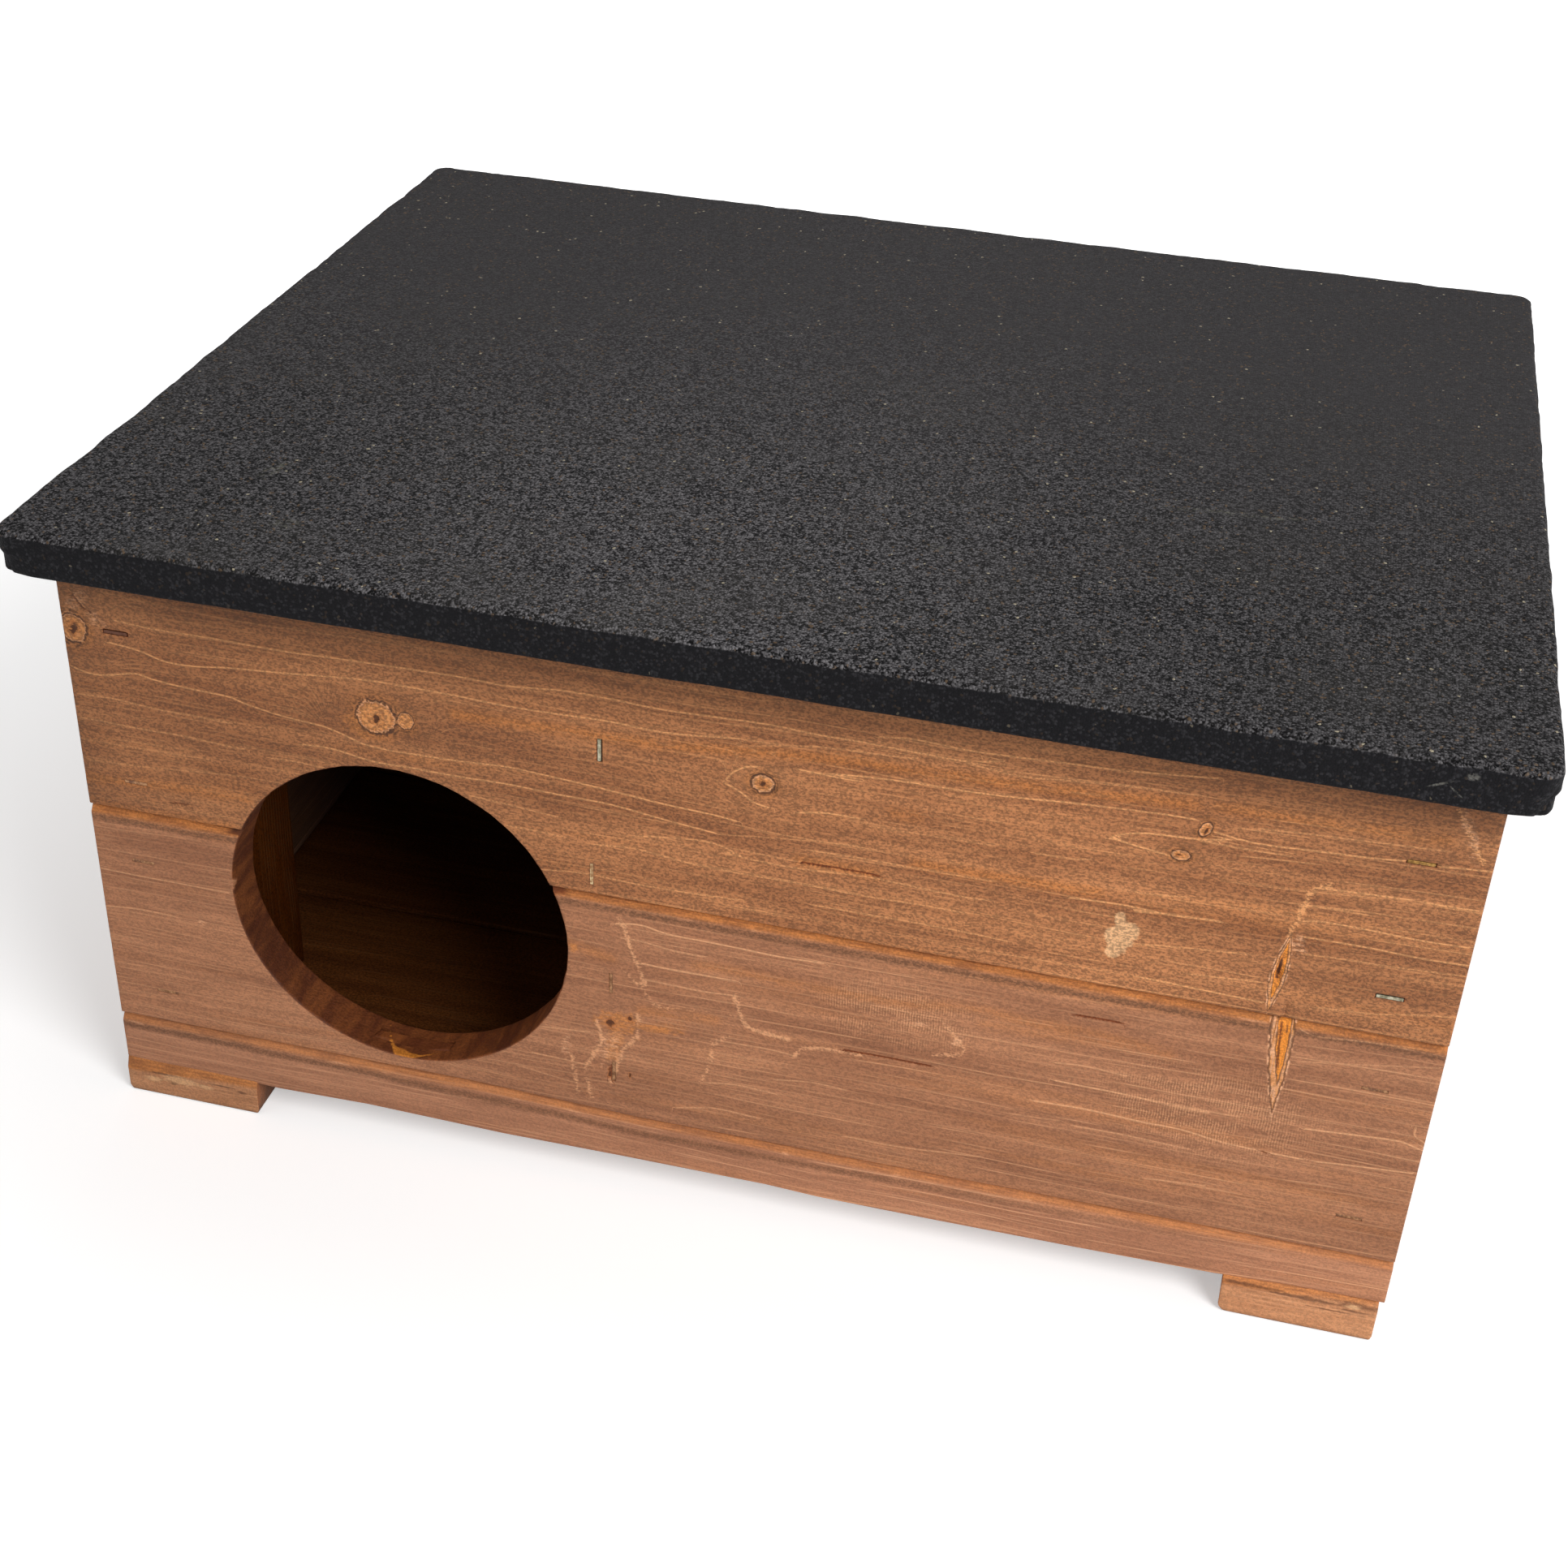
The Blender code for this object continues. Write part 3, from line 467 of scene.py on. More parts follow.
class Nodes:
    """A short way to write nodes. What goes into them are numbers, colours and what other nodes give."""

    palette = {}

    def __init__(self, tree):
        self.tree = tree

    def put(self, socket, value):
        if isinstance(value, Value):
            self.tree.links.new(value.socket, socket)
        else:
            socket.default_value = value

    def node(self, kind, inputs, output=0, **settings):
        """Adds a node with these inputs and settings, and gives one of its outputs."""
        made = self.tree.nodes.new("ShaderNode" + kind)
        for name, value in settings.items():
            setattr(made, name, value)
        for name, value in inputs.items():
            self.put(made.inputs[name], value)
        return Value(self, made.outputs[output])

    def parts(self, value, kind="SeparateXYZ"):
        """The three parts of a place or a colour."""
        outputs = self.node(kind, {0: value}).socket.node.outputs
        return [Value(self, output) for output in outputs]

    def math(self, operation, *values):
        return self.node("Math", dict(enumerate(values)), operation=operation)

    def vector(self, operation, *values, output=0):
        return self.node("VectorMath", dict(enumerate(values)), output, operation=operation)

    def scaled(self, place, scale):
        return self.node("VectorMath", {0: place, "Scale": scale}, operation="SCALE")

    def band(self, value, low, high):
        """0 up to low and 1 from high, smooth between them. It falls instead where low is above high."""
        ends = (low, high, 0.0, 1.0) if low < high else (high, low, 1.0, 0.0)
        inputs = dict(zip(("From Min", "From Max", "To Min", "To Max"), ends), Value=value)
        return self.node("MapRange", inputs, interpolation_type="SMOOTHSTEP")

    def between(self, value, start, low, high, end):
        """1 from low to high, falling to 0 at start and at end."""
        return self.band(value, start, low) * self.band(value, end, high)

    def shade(self, colour):
        """A colour as a node takes it, from its name in the palette or from a screen colour."""
        if isinstance(colour, str):
            colour = self.palette[colour]
        if isinstance(colour, tuple) and len(colour) == 3:
            colour = linear(*colour)
        return colour

    def mix(self, share, a, b, blend="MIX"):
        inputs = {0: share, 6: self.shade(a), 7: self.shade(b)}
        return self.node("Mix", inputs, 2, data_type="RGBA", blend_type=blend)

    def grey(self, value):
        return self.node("CombineColor", dict.fromkeys(range(3), value))

    def attribute(self, name):
        return self.node("Attribute", {}, "Fac", attribute_name=name)

    def millimetres(self, seed=None):
        """The piece's own coordinates in millimetres, moved along by a board's seed."""
        place = self.scaled(self.node("TexCoord", {}, "Object"), 1 / MM)
        return place if seed is None else self.vector("ADD", place, seed)

    def noise(self, place, sizes, detail=2.0, roughness=0.5, distortion=0.0):
        """Noise from 0 to 1 whose lumps have these sizes."""
        inputs = {"Vector": self.vector("DIVIDE", place, sizes), "Scale": 1.0, "Detail": detail,
                  "Roughness": roughness, "Distortion": distortion}
        return self.node("TexNoise", inputs, "Fac")

    def cells(self, place, size):
        """The distance from the middle of a cell, and the cell's own random colour."""
        distance = self.node("TexVoronoi", {"Vector": self.scaled(place, 1 / size), "Scale": 1.0}, "Distance")
        return distance, Value(self, distance.socket.node.outputs["Color"])


class Look(Nodes):
    """The nodes of a new material, with the colour that it has so far."""

    def __init__(self, name, palette=None):
        self.material = bpy.data.materials.new(name)
        self.material.use_nodes = True
        super().__init__(self.material.node_tree)
        self.shader = self.tree.nodes["Principled BSDF"]
        self.palette = palette or {}

    def paint(self, share, colour, blend="MIX"):
        """Lays a share of a colour over the one so far."""
        self.colour = self.mix(share, self.colour, colour, blend)

    def bump(self, height, distance, strength):
        inputs = {"Distance": distance * MM, "Strength": strength, "Height": height}
        self.put(self.shader.inputs["Normal"], self.node("Bump", inputs))

    def finish(self, colour, roughness, **others):
        for name, value in {"Base Color": colour, "Roughness": roughness, **others}.items():
            self.put(self.shader.inputs[name.replace("_", " ")], value)
        return self.material


# Wood's screen colours, what "warm" multiplies the colour by, and the gloss
STAIN = {
    "dark": (134, 88, 63),
    "light": (176, 123, 91),
    "line": (216, 160, 120),
    "amber": (186, 119, 65),
    "grey": (106, 69, 45),
    "torn": (208, 162, 118),
    "check": (104, 50, 18),
    "knot": (216, 146, 86),
    "knot_ring": (172, 102, 52),
    "pith": (72, 36, 16),
    "bark": (76, 44, 26),
    "end": (100, 48, 20),
    "end_light": (142, 78, 36),
    "raw": (222, 136, 50),
    "chamfer": (180, 112, 56),
    "chamfer_dark": (144, 86, 44),
    "warm": (1.0, 0.905, 0.672, 1.0),
    "gloss": 0.3,
}
FOOT = {**STAIN, "dark": (152, 102, 68), "light": (196, 142, 103)}
INDOORS = {**STAIN, "dark": (138, 80, 46), "light": (180, 112, 64), "gloss": 0.05}
POST = {**STAIN, "dark": (104, 50, 8), "light": (130, 70, 14), "gloss": 0.05}
# How much of its colour wood keeps where shade is painted on it inside, how much painted shade the way in's
# rim has at each X, the spacing of the ring lines, how many fine ones lie to each, and how dark the boards'
# ends are
INSIDE_SHARE = 0.22
BORE_SHADES = ((60, 0.7), (95, 0.42), (125, 0.38), (150, 0.2))
RING_SPACING = 5.0
FINE_LINES = 2.7
END_DARKNESS = 0.7
# The spacing of the planer's ribs, the size of the specks in knots, and the width of small knots' lines
RIB_SPACING = 0.98
KNOT_SPECKS = (1.6, 1.6, 1.3)
SMALL_KNOT_LINES = 1.7


def sized_place(n, place, shape):
    """The place from an oval's centre, turned with it and counted in its own half sizes."""
    x, z, half_width, half_height, tilt = shape
    moved = n.vector("SUBTRACT", place, (x, 0, z))
    turned = n.node("VectorRotate", {"Vector": moved, "Angle": math.radians(-tilt)}, rotation_type="Y_AXIS")
    return n.vector("MULTIPLY", turned, (1 / half_width, 0, 1 / half_height))


def oval(n, place, shape):
    """The distance from an oval's centre in its own radii, as nodes."""
    return n.vector("LENGTH", sized_place(n, place, shape), output="Value")


def blade(n, place, shape):
    """As oval, for a shape that is wide in the middle and pointed above and below."""
    across, _, up = n.parts(sized_place(n, place, shape))
    return abs(across) + up * up


def nearest_of(n, place, shapes, kind=oval):
    """The distance to the nearest of several shapes."""
    nearest = FURTHEST
    for shape in shapes:
        nearest = n.math("MINIMUM", nearest, kind(n, place, shape))
    return nearest


class Wood(Look):
    """A wood's nodes: the place on its wall, the place moved along by the board's seed, and shared noises."""

    def __init__(self, name, palette):
        super().__init__(name, palette)
        self.wall = self.millimetres()
        self.place = self.millimetres(self.attribute("seed"))
        self.fibre = self.noise(self.place, (12.0, 1.1, 0.55), 3.0, 0.6)
        self.fuzz = self.noise(self.place, (1.05, 0.9, 0.66), 2.0, 0.6)
        self.breaks = self.noise(self.place, (11.0, 6.0, 3.0), 2.0)


def wood_lines(n):
    """The pale lines that saw and brush leave along the rings, those listed, and the late wood."""
    wander = n.noise(n.place, (130.0, 20.0, 16.0), 2.0)
    cell = (n.attribute("ring") + wander * 5.0) * (1 / RING_SPACING)
    fuzz = n.fuzz - 0.5
    lines = n.band(n.math("PINGPONG", cell, 0.5) * RING_SPACING + fuzz * 0.9, 0.42, 0.05)
    shown = n.band(n.noise(n.place, (60.0, 30.0, 5.0), 2.0), 0.46, 0.62)
    lines = lines * shown * n.attribute("plain")
    fine = n.math("PINGPONG", cell * FINE_LINES, 0.5) * (RING_SPACING / FINE_LINES)
    fine = n.band(fine + fuzz * 1.2, 0.35, 0.0)
    fine = fine * n.band(n.noise(n.place, (34.0, 12.0, 3.0), 2.0), 0.46, 0.62)
    lines = n.math("MAXIMUM", lines, fine * 0.45)
    drawn = n.band(abs(n.attribute("line")) + fuzz * 0.7, 0.6, 0.1) * n.attribute("line_force")
    drawn = drawn * n.band(n.breaks, 0.2, 0.38)
    late = n.band(n.math("FRACT", cell), 0.3, 0.95)
    return n.math("MAXIMUM", lines, drawn), late


def wood_base(n):
    """The stain with its streaks and pale lines. Gives the lines back."""
    streak = n.noise(n.place, (120.0, 16.0, 7.0), 5.0, 0.6)
    cloud = n.noise(n.place, (70.0, 30.0, 26.0), 3.0)
    tone = streak * 0.55 + (cloud * 0.25 + n.fibre * 0.2)
    contrast = 0.66 + n.attribute("warmth") * 0.36
    tone = 0.5 + (tone - 0.5) * contrast
    n.colour = n.mix(n.band(tone, 0.36, 0.64), "dark", "light")
    glow = n.band(n.noise(n.place, (150.0, 20.0, 10.0), 3.0), 0.55, 0.75)
    n.paint(glow * 0.22, "amber")
    lines, late = wood_lines(n)
    n.paint(late * 0.2, "dark")
    n.paint(n.attribute("amber") * n.band(n.breaks, 0.2, 0.5) * 0.5, "amber")
    torn = n.attribute("torn_edge")
    frayed = torn + (n.fuzz - 0.5 + (n.breaks - 0.5) * 0.8)
    n.paint(n.band(frayed, 0.45, 0.95) * n.band(torn, 0.05, 0.4) * 0.66, "line")
    n.paint(lines * 0.84, "line")
    return lines


def wood_knots(n, knots, width):
    """Round knots: a warm heart with faint rings in thin dark bark lines, which have this width."""
    edge = n.noise(n.wall, (4.0, 4.0, 4.0), 2.0)
    small = n.noise(n.wall, KNOT_SPECKS, 3.0)
    distance = nearest_of(n, n.wall, knots) + (edge - 0.5) * 0.5
    distance = distance + (small - 0.5) * 0.35
    rings = n.band(n.math("SINE", distance * 17.0), -0.6, 1.0)
    heart = n.mix(rings * 0.5, "knot", "knot_ring")
    heart = n.mix(n.band(small, 0.5, 0.66) * 0.26, heart, "line")
    heart = n.mix(n.band(small, 0.48, 0.34) * 0.3, heart, "dark")
    n.paint(n.between(distance, 1.04, 1.14, 1.2, 1.8) * 0.35, "amber")
    n.paint(n.between(distance, 1.16, 1.22, 1.28, 1.36) * n.band(edge, 0.48, 0.56) * 0.65, "bark")
    n.paint(n.band(distance, 1.02, 0.92) * 0.9, heart)
    n.paint(n.between(distance, 1 - 0.18 * width, 1 - 0.1 * width, 0.92, 0.97) * 0.6, "line")
    bark = n.between(distance, 1 - 0.08 * width, 1 - 0.02 * width, 1 + 0.03 * width, 1 + 0.12 * width)
    n.paint(bark * n.band(edge, 0.32, 0.46) * 0.88, "bark")


def wood_piths(n, piths):
    """The dark hearts of knots, with a brown stain round them."""
    pith = nearest_of(n, n.wall, piths) + (n.noise(n.wall, KNOT_SPECKS, 3.0) - 0.5) * 1.8
    n.paint(n.band(pith, 1.8, 0.9) * 0.65, "knot_ring")
    n.paint(n.band(pith, 1.15, 0.65) * 0.92, "pith")


def wood_spike(n, spike, core, top):
    """A knot cut along its length: an orange blade in a paler one, each in a broken dark outline, and nothing
    of it above the height top."""
    edge = n.noise(n.wall, (2.4, 3.0, 4.0), 3.0) - 0.5
    fibre = n.noise(n.wall, (0.7, 3.0, 6.0), 3.0)
    above = n.band(n.parts(n.wall)[2], top - 0.2, top + 0.2) * 9.0
    outer = nearest_of(n, n.wall, [spike], blade) + edge * 0.5 + above
    n.paint(n.between(outer, 1.0, 1.08, 1.12, 1.3) * n.band(edge, -0.04, 0.1), "line")
    n.paint(n.band(outer, 1.02, 0.94) * 0.8, n.mix(n.band(fibre, 0.4, 0.62), "knot", "line"))
    n.paint(n.between(outer, 0.84, 0.94, 1.0, 1.1) * 0.7, "bark")
    inner = nearest_of(n, n.wall, [core], blade) + edge * 0.6 + above
    n.paint(n.band(inner, 1.0, 0.86), n.mix(n.band(fibre, 0.34, 0.5), "chamfer_dark", "raw"))
    n.paint(n.between(inner, 0.84, 0.96, 1.02, 1.14) * 0.75, "bark")


def wood_patches(n, places):
    """Amber, torn and bare patches where the photograph shows them."""
    ragged = n.noise(n.place, (2.2, 2.2, 1.8), 3.0) - 0.5
    fibre = n.noise(n.place, (4.0, 1.6, 0.7), 3.0)
    if places["amber"]:
        distance = nearest_of(n, n.wall, places["amber"]) + ragged * 2.0
        n.paint(n.band(distance, 1.2, 0.6) * n.band(fibre, 0.3, 0.52) * 0.85, "amber")
    if places["torn"]:
        distance = nearest_of(n, n.wall, places["torn"]) + ragged * 2.4
        n.paint(n.band(distance, 1.2, 0.4) * n.band(fibre, 0.4, 0.62) * 0.7, "line")
    if places["bare"]:
        broad = n.noise(n.place, (4.2, 4.2, 3.4), 3.0, 0.6) - 0.5
        distance = nearest_of(n, n.wall, places["bare"]) + (ragged * 0.6 + broad * 0.9)
        n.paint(n.band(distance, 1.1, 0.8) * (0.6 + fibre * 0.6), "torn")


def wood_ribs(n, combs):
    """Upright ribs, under a millimetre apart, where the planer has chattered."""
    turns = n.parts(n.wall)[0] * (2 * math.pi / RIB_SPACING) + n.noise(n.wall, (12.0, 9.0, 6.0)) * 7.0
    wave = n.band(n.math("SINE", turns) + (n.fuzz - 0.5) * 2.2, -0.4, 1.0)
    patchy = n.band(n.noise(n.wall, (12.0, 5.0, 5.0), 3.0), 0.36, 0.6)
    shown = n.band(nearest_of(n, n.wall, combs), COMB_EDGE, COMB_EDGE - 0.8)
    return wave * patchy * shown


def wood_edges(n):
    """The orange chamfer that faces up and the mottled dark band a little below it."""
    breaks = n.breaks - 0.5
    chamfer = n.mix(n.band(n.fibre + breaks * 0.8, 0.25, 0.7), "chamfer_dark", "chamfer")
    n.paint(n.attribute("bevel"), chamfer)
    # a mottled dark band a little below each joint, as strong as the board's band value
    wander = (n.noise(n.place, (50.0, 20.0, 20.0), 2.0) - 0.5) * 2.4 + breaks * 1.2
    off_centre = abs(n.attribute("off_rub") - wander) + (n.fuzz - 0.5) * 1.0
    mottled = 0.62 + n.band(n.fuzz, 0.6, 0.44) * 0.26
    n.paint(n.band(off_centre, 2.3, 0.3) * mottled * n.attribute("rub"), "grey")
    # a pale line along the arris: partly sanded wood, partly painted highlight
    at_arris = n.band(abs(n.attribute("below_arris")), 0.8, 0.1)
    n.paint(at_arris * n.band(n.breaks, 0.6, 0.7) * 0.35, "line")


def wood_ends(n):
    """End grain takes more stain, in soft slanting bands, but for one raw place on the way in's rim."""
    streaks = n.noise(n.place, (10.0, 34.0, 7.0), 3.0, 0.5, 1.2)
    n.paint(n.attribute("cut"), n.mix(n.band(streaks, 0.34, 0.7), "end", "end_light"))
    ragged = n.noise(n.place, (5.0, 3.0, 5.0), 3.0, 0.6)
    raw = n.band(n.attribute("raw") + (ragged - 0.5) * 0.9, 0.3, 0.75)
    n.paint(raw * n.attribute("cut"), "raw")


def flat(n, place):
    """The place with Y where an oval reads Z, for ovals that lie flat."""
    x, y, _ = n.parts(place)
    return n.node("CombineXYZ", {0: x, 2: y})


def foot_marks(n, marks):
    """Bare and dark marks on a foot's front edge."""
    ragged = n.noise(n.place, (3.4, 1.0, 1.6), 3.0, 0.6) - 0.5
    for kind, tint, share in (("dark", "bark", 0.7), ("pale", "torn", 0.75)):
        distance = nearest_of(n, flat(n, n.wall), marks[kind]) + ragged * 2.0
        n.paint(n.band(distance, 1.3, 0.4) * share, tint)


def wood_material(name, palette, **given):
    """Brown-stained spruce: soft streaks along the grain, pale lines, fuzz, knots, orange chamfers and darker
    cut ends. The boards' meshes say where."""
    places = defaultdict(tuple, given)
    n = Wood(name, palette)
    warmth = n.attribute("warmth")
    lines = wood_base(n)
    ribs = 0.0
    if places["combs"]:
        ribs = wood_ribs(n, places["combs"])
        n.paint(ribs * 0.42, "line")
    n.paint(warmth, n.mix(1.0, n.colour, "warm", "MULTIPLY"))
    wood_edges(n)
    wood_patches(n, places)
    if places["marks"]:
        foot_marks(n, places["marks"])
    if places["knots"]:
        wood_knots(n, places["knots"], 1.0)
    if places["small_knots"]:
        wood_knots(n, places["small_knots"], SMALL_KNOT_LINES)
    for spike in places["spikes"]:
        wood_spike(n, *spike)
    if places["piths"]:
        wood_piths(n, places["piths"])
    # dark checks, and painted shade in the staples' slots
    check = abs(n.attribute("check")) + n.fuzz * 0.7
    n.paint(n.band(check, 1.05, 0.5) * n.attribute("check_and_slot_shade"), "check")
    wood_ends(n)
    speckle = n.band(n.fuzz, 0.38, 0.62)
    shade = 1.0 + (speckle - 0.5) * (0.24 + warmth * 0.46)
    # tone multiplies in painted light and shade along with the board's own tone
    shade = (shade + (n.fibre - 0.5) * 0.25) * n.attribute("tone")
    # painted shade: wood inside the house, the boards' backs and the way in's rim are darkened by the inside
    # value
    inside = 1.0 - n.attribute("inside") * (1 - INSIDE_SHARE)
    n.paint(1.0, n.grey(shade * inside), "MULTIPLY")
    height = n.fibre * 0.45 + speckle * 0.3
    n.bump(height + (lines * 0.5 + ribs * 0.6), 0.28, 0.9)
    return n.finish(n.colour, 0.5 + n.fuzz * 0.3, Specular_IOR_Level=palette["gloss"])


def eased(points, radius):
    """An outline with its outward corners rounded."""
    result = []
    for index, point in enumerate(points):
        here = Vector(point)
        inward = here - Vector(points[index - 1])
        outward = Vector(points[(index + 1) % len(points)]) - here
        if inward.x * outward.y - inward.y * outward.x <= 0:
            result.append(here)
            continue
        size = min(radius, 0.4 * inward.length, 0.4 * outward.length)
        start, end = here - inward.normalized() * size, here + outward.normalized() * size
        for share in (0, 0.3, 0.7, 1):
            result.append(start.lerp(here, share).lerp(here.lerp(end, share), share))
    return result


def dense(points, fine, coarse):
    """An outline with more points, close together on the face and its chamfers."""
    result = []
    for index, here in enumerate(points):
        after = points[(index + 1) % len(points)]
        step = fine if max(here.x, after.x) < V_LEG + 0.1 else coarse
        count = max(1, math.ceil((after - here).length / step - 0.01))
        result += [here.lerp(after, share / count) for share in range(count)]
    return result


def board_outline(thickness, low, high, lower, upper):
    """A board's section: X is the depth behind its face and Y its height. Each edge is flat, chamfered, a
    groove or a tongue. A foot's lower edge is given as how deep its chamfer runs."""
    middle = thickness / 2
    tongue, groove = TONGUE_THICKNESS / 2, TONGUE_THICKNESS / 2 + FIT
    points = [(0, low), (V_LEG, low)]
    if lower == "groove":
        top = low + TONGUE_LENGTH + FIT
        points = [(0, low + LOWER_LEG), (LOWER_LEG, low), (middle - groove, low), (middle - groove, top),
                  (middle + groove, top), (middle + groove, low)]
    elif lower != "flat":
        points = [(0, low + V_LEG), (lower, low)]
    points += [(thickness, low), (thickness, high)]
    if upper == "tongue":
        tip = high + TONGUE_LENGTH
        points += [(middle + tongue, high), (middle + tongue, tip - TONGUE_CHAMFER)]
        points += [(middle + tongue - TONGUE_CHAMFER, tip), (middle - tongue + TONGUE_CHAMFER, tip)]
        points += [(middle - tongue, tip - TONGUE_CHAMFER), (middle - tongue, high)]
    points += [(0, high)] if upper == "flat" else [(V_LEG, high), (0, high - UPPER_DROP)]
    return points


def tube_mesh(name, rings, flipped=False):
    """A closed mesh from rings of points, each with as many as the next, and a flat face at either end."""
    rings = np.asarray(rings)
    count = rings.shape[1]
    here = np.arange(count)
    after = (here + 1) % count
    faces = []
    for ring in range(len(rings) - 1):
        low, high = ring * count, (ring + 1) * count
        corners = [low + here, low + after, high + after, high + here]
        if flipped:
            corners = [corners[0], *corners[:0:-1]]
        faces += np.stack(corners, 1).tolist()
    first, last = list(range(count)), list(range((len(rings) - 1) * count, len(rings) * count))
    faces += [first, last[::-1]] if flipped else [first[::-1], last]
    mesh = bpy.data.meshes.new(name)
    mesh.from_pydata(rings.reshape(-1, 3).tolist(), [], faces)
    mesh.validate()
    return mesh


def lofted(name, outline, start, end, step):
    """A closed mesh of an outline drawn along X, with eased ends."""
    outline = np.array([tuple(point) for point in outline])
    tangent = np.roll(outline, -1, 0) - np.roll(outline, 1, 0)
    tangent /= np.linalg.norm(tangent, axis=1)[:, None]
    outward = np.stack([tangent[:, 1], -tangent[:, 0]], 1)
    count = max(2, round((end - start) / step))
    middle = np.linspace(start + END_EASE, end - END_EASE, count)
    stations = np.concatenate([[start, start + END_EASE / 3], middle, [end - END_EASE / 3, end]])
    insets = np.concatenate([[END_EASE, END_EASE / 3], np.zeros(count), [END_EASE / 3, END_EASE]])
    places = np.empty((len(stations), len(outline), 3))
    places[:, :, 0] = stations[:, None]
    places[:, :, 1:] = outline[None] - outward[None] * insets[:, None, None]
    return tube_mesh(name, places)


def cut_away(piece, cutter):
    """Cuts a closed mesh out of another and removes the cutter."""
    modifier = piece.modifiers.new("cut", "BOOLEAN")
    modifier.object, modifier.solver = cutter, "MANIFOLD"
    shape = bpy.data.meshes.new_from_object(piece.evaluated_get(bpy.context.evaluated_depsgraph_get()))
    piece.modifiers.clear()
    piece.data = shape
    bpy.data.objects.remove(cutter)


def hole_cutter():
    """The round way in, in the front wall's millimetres, with a flared rim and the small waves that its
    cutter leaves in end grain."""
    near_face = [-2.0, -0.4, 0.0, 0.15, 0.35, 0.6, 1.0]
    between = [1.0 + 0.8 * index for index in range(1, 21)]
    near_back = [BOARD_THICKNESS + depth for depth in (-0.6, -0.3, 0.0, 0.4, 2.0)]
    angles = np.linspace(0, 2 * math.pi, 360, endpoint=False)
    run = angles * HOLE_RADIUS
    rings = []
    for depth in near_face + between + near_back:
        flare = 0.55 * math.exp(-max(depth, 0) / 0.3) + 0.4 * math.exp(-max(BOARD_THICKNESS - depth, 0) / 0.3)
        wave = 0.16 * smooth_noise(run + 0.8 * depth, depth, 4.2, 7.0, 5)
        wave += 0.08 * smooth_noise(run - 0.5 * depth, depth, 1.6, 5.0, 6)
        radius = HOLE_RADIUS + flare + wave * (1 if 0 < depth < BOARD_THICKNESS else 0.4)
        x, z = HOLE_X + radius * np.cos(angles), HOLE_Z + radius * np.sin(angles)
        rings.append(np.column_stack([x, np.full(len(x), depth), z]))
    return linked("hole_cutter", tube_mesh("hole", rings, flipped=True))


def boxes(blocks):
    """Boxes given by their lowest and highest corners, as one shape."""
    shape = bmesh.new()
    for low, high in blocks:
        for vertex in bmesh.ops.create_cube(shape, size=1.0)["verts"]:
            vertex.co = [l + (c + 0.5) * (h - l) for c, l, h in zip(vertex.co, low, high)]
    return shape


def as_mesh(name, shape):
    mesh = bpy.data.meshes.new(name)
    shape.to_mesh(mesh)
    shape.free()
    return mesh


def reach(nodes, axis):
    """How far a group of nodes reaches along a direction, in metres."""
    spans = [corner.dot(axis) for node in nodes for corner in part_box(node)]
    return min(spans), max(spans)


def span(nodes, axis, place):
    """How far a group of nodes reaches along a direction, in millimetres from a wall's corner."""
    return [(value - place.translation.dot(axis)) / MM for value in reach(nodes, axis)]


def wall_matrix(nodes, facing):
    """Millimetres from the lower left corner of a wall's face to metres in the house."""
    corner = sum((axis * reach(nodes, axis)[0] for axis in facing), Vector())
    return Matrix.Translation(corner) @ Matrix(facing).transposed().to_4x4()


# What a board is like where nothing else is said: its knots, whether it is drawn from the photograph, whether
# it is indoors, how warm its colour is, how light it is (X, the tone at its lower and at its upper edge,
# partly its own tone and partly painted light and shade), the dark band under its chamfer (X, its strength,
# and how far its middle lies below the arris), how orange its chamfer is, and the radii of its lower corners
BOARD = {"knots": (), "drawn": False, "indoors": False, "warmth": 0.5, "tone": ((0, 1.0, 1.0),),
         "rub": ((0, 0.7, 1.9),), "bevel": 0.85, "corners": None}


def make_board(node, place, facing, edges, material, seed, grid, cutters=(), slot="stained_wood", **given):
    """One board in the space of its node, in the frame of its wall. BOARD says what can be given."""
    lower, upper = edges
    start, end = span([node], facing[0], place)
    face, back = span([node], facing[1], place)
    low, high = span([node], facing[2], place)
    if upper == "tongue":
        high -= TONGUE_LENGTH
    facts = {**BOARD, **given, "seed": seed, "lower": lower, "upper": upper, "start": start, "end": end,
             "face": face, "back": back, "low": low, "high": high}
    fine, step = grid
    outline = eased(board_outline(back - face, low, high, lower, upper), ARRIS_RADIUS)
    outline = dense(outline, fine, 1.5 if facts["corners"] else 6.0)
    outline = [Vector((point.x + face, point.y)) for point in outline]
    name = node + "_wood"
    piece = linked(name, lofted(name, outline, start, end, step))
    for cutter in cutters:
        cut_away(piece, cutter())
    dress_board(piece.data, facts)
    piece.data.transform(Matrix.Scale(MM, 4))
    piece.data.shade_smooth()
    piece.data.set_sharp_from_angle(angle=math.radians(38))
    piece.data.materials.clear()
    piece.data.materials.append(material)
    piece.matrix_world = place
    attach(piece, FIXED_BODY)
    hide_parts(node)


def raw_crescent(across, depth):
    """A sliver of raw wood in the way in's rim, widest at the face, with two thin arms that run deeper."""
    arm = 0.8 + np.where(across < 0, 0.13, 0.018) * across ** 2
    return bell(depth - arm, 0.7 + 2.2 * bell(across, 5.0)) * bell(across, 16.0)


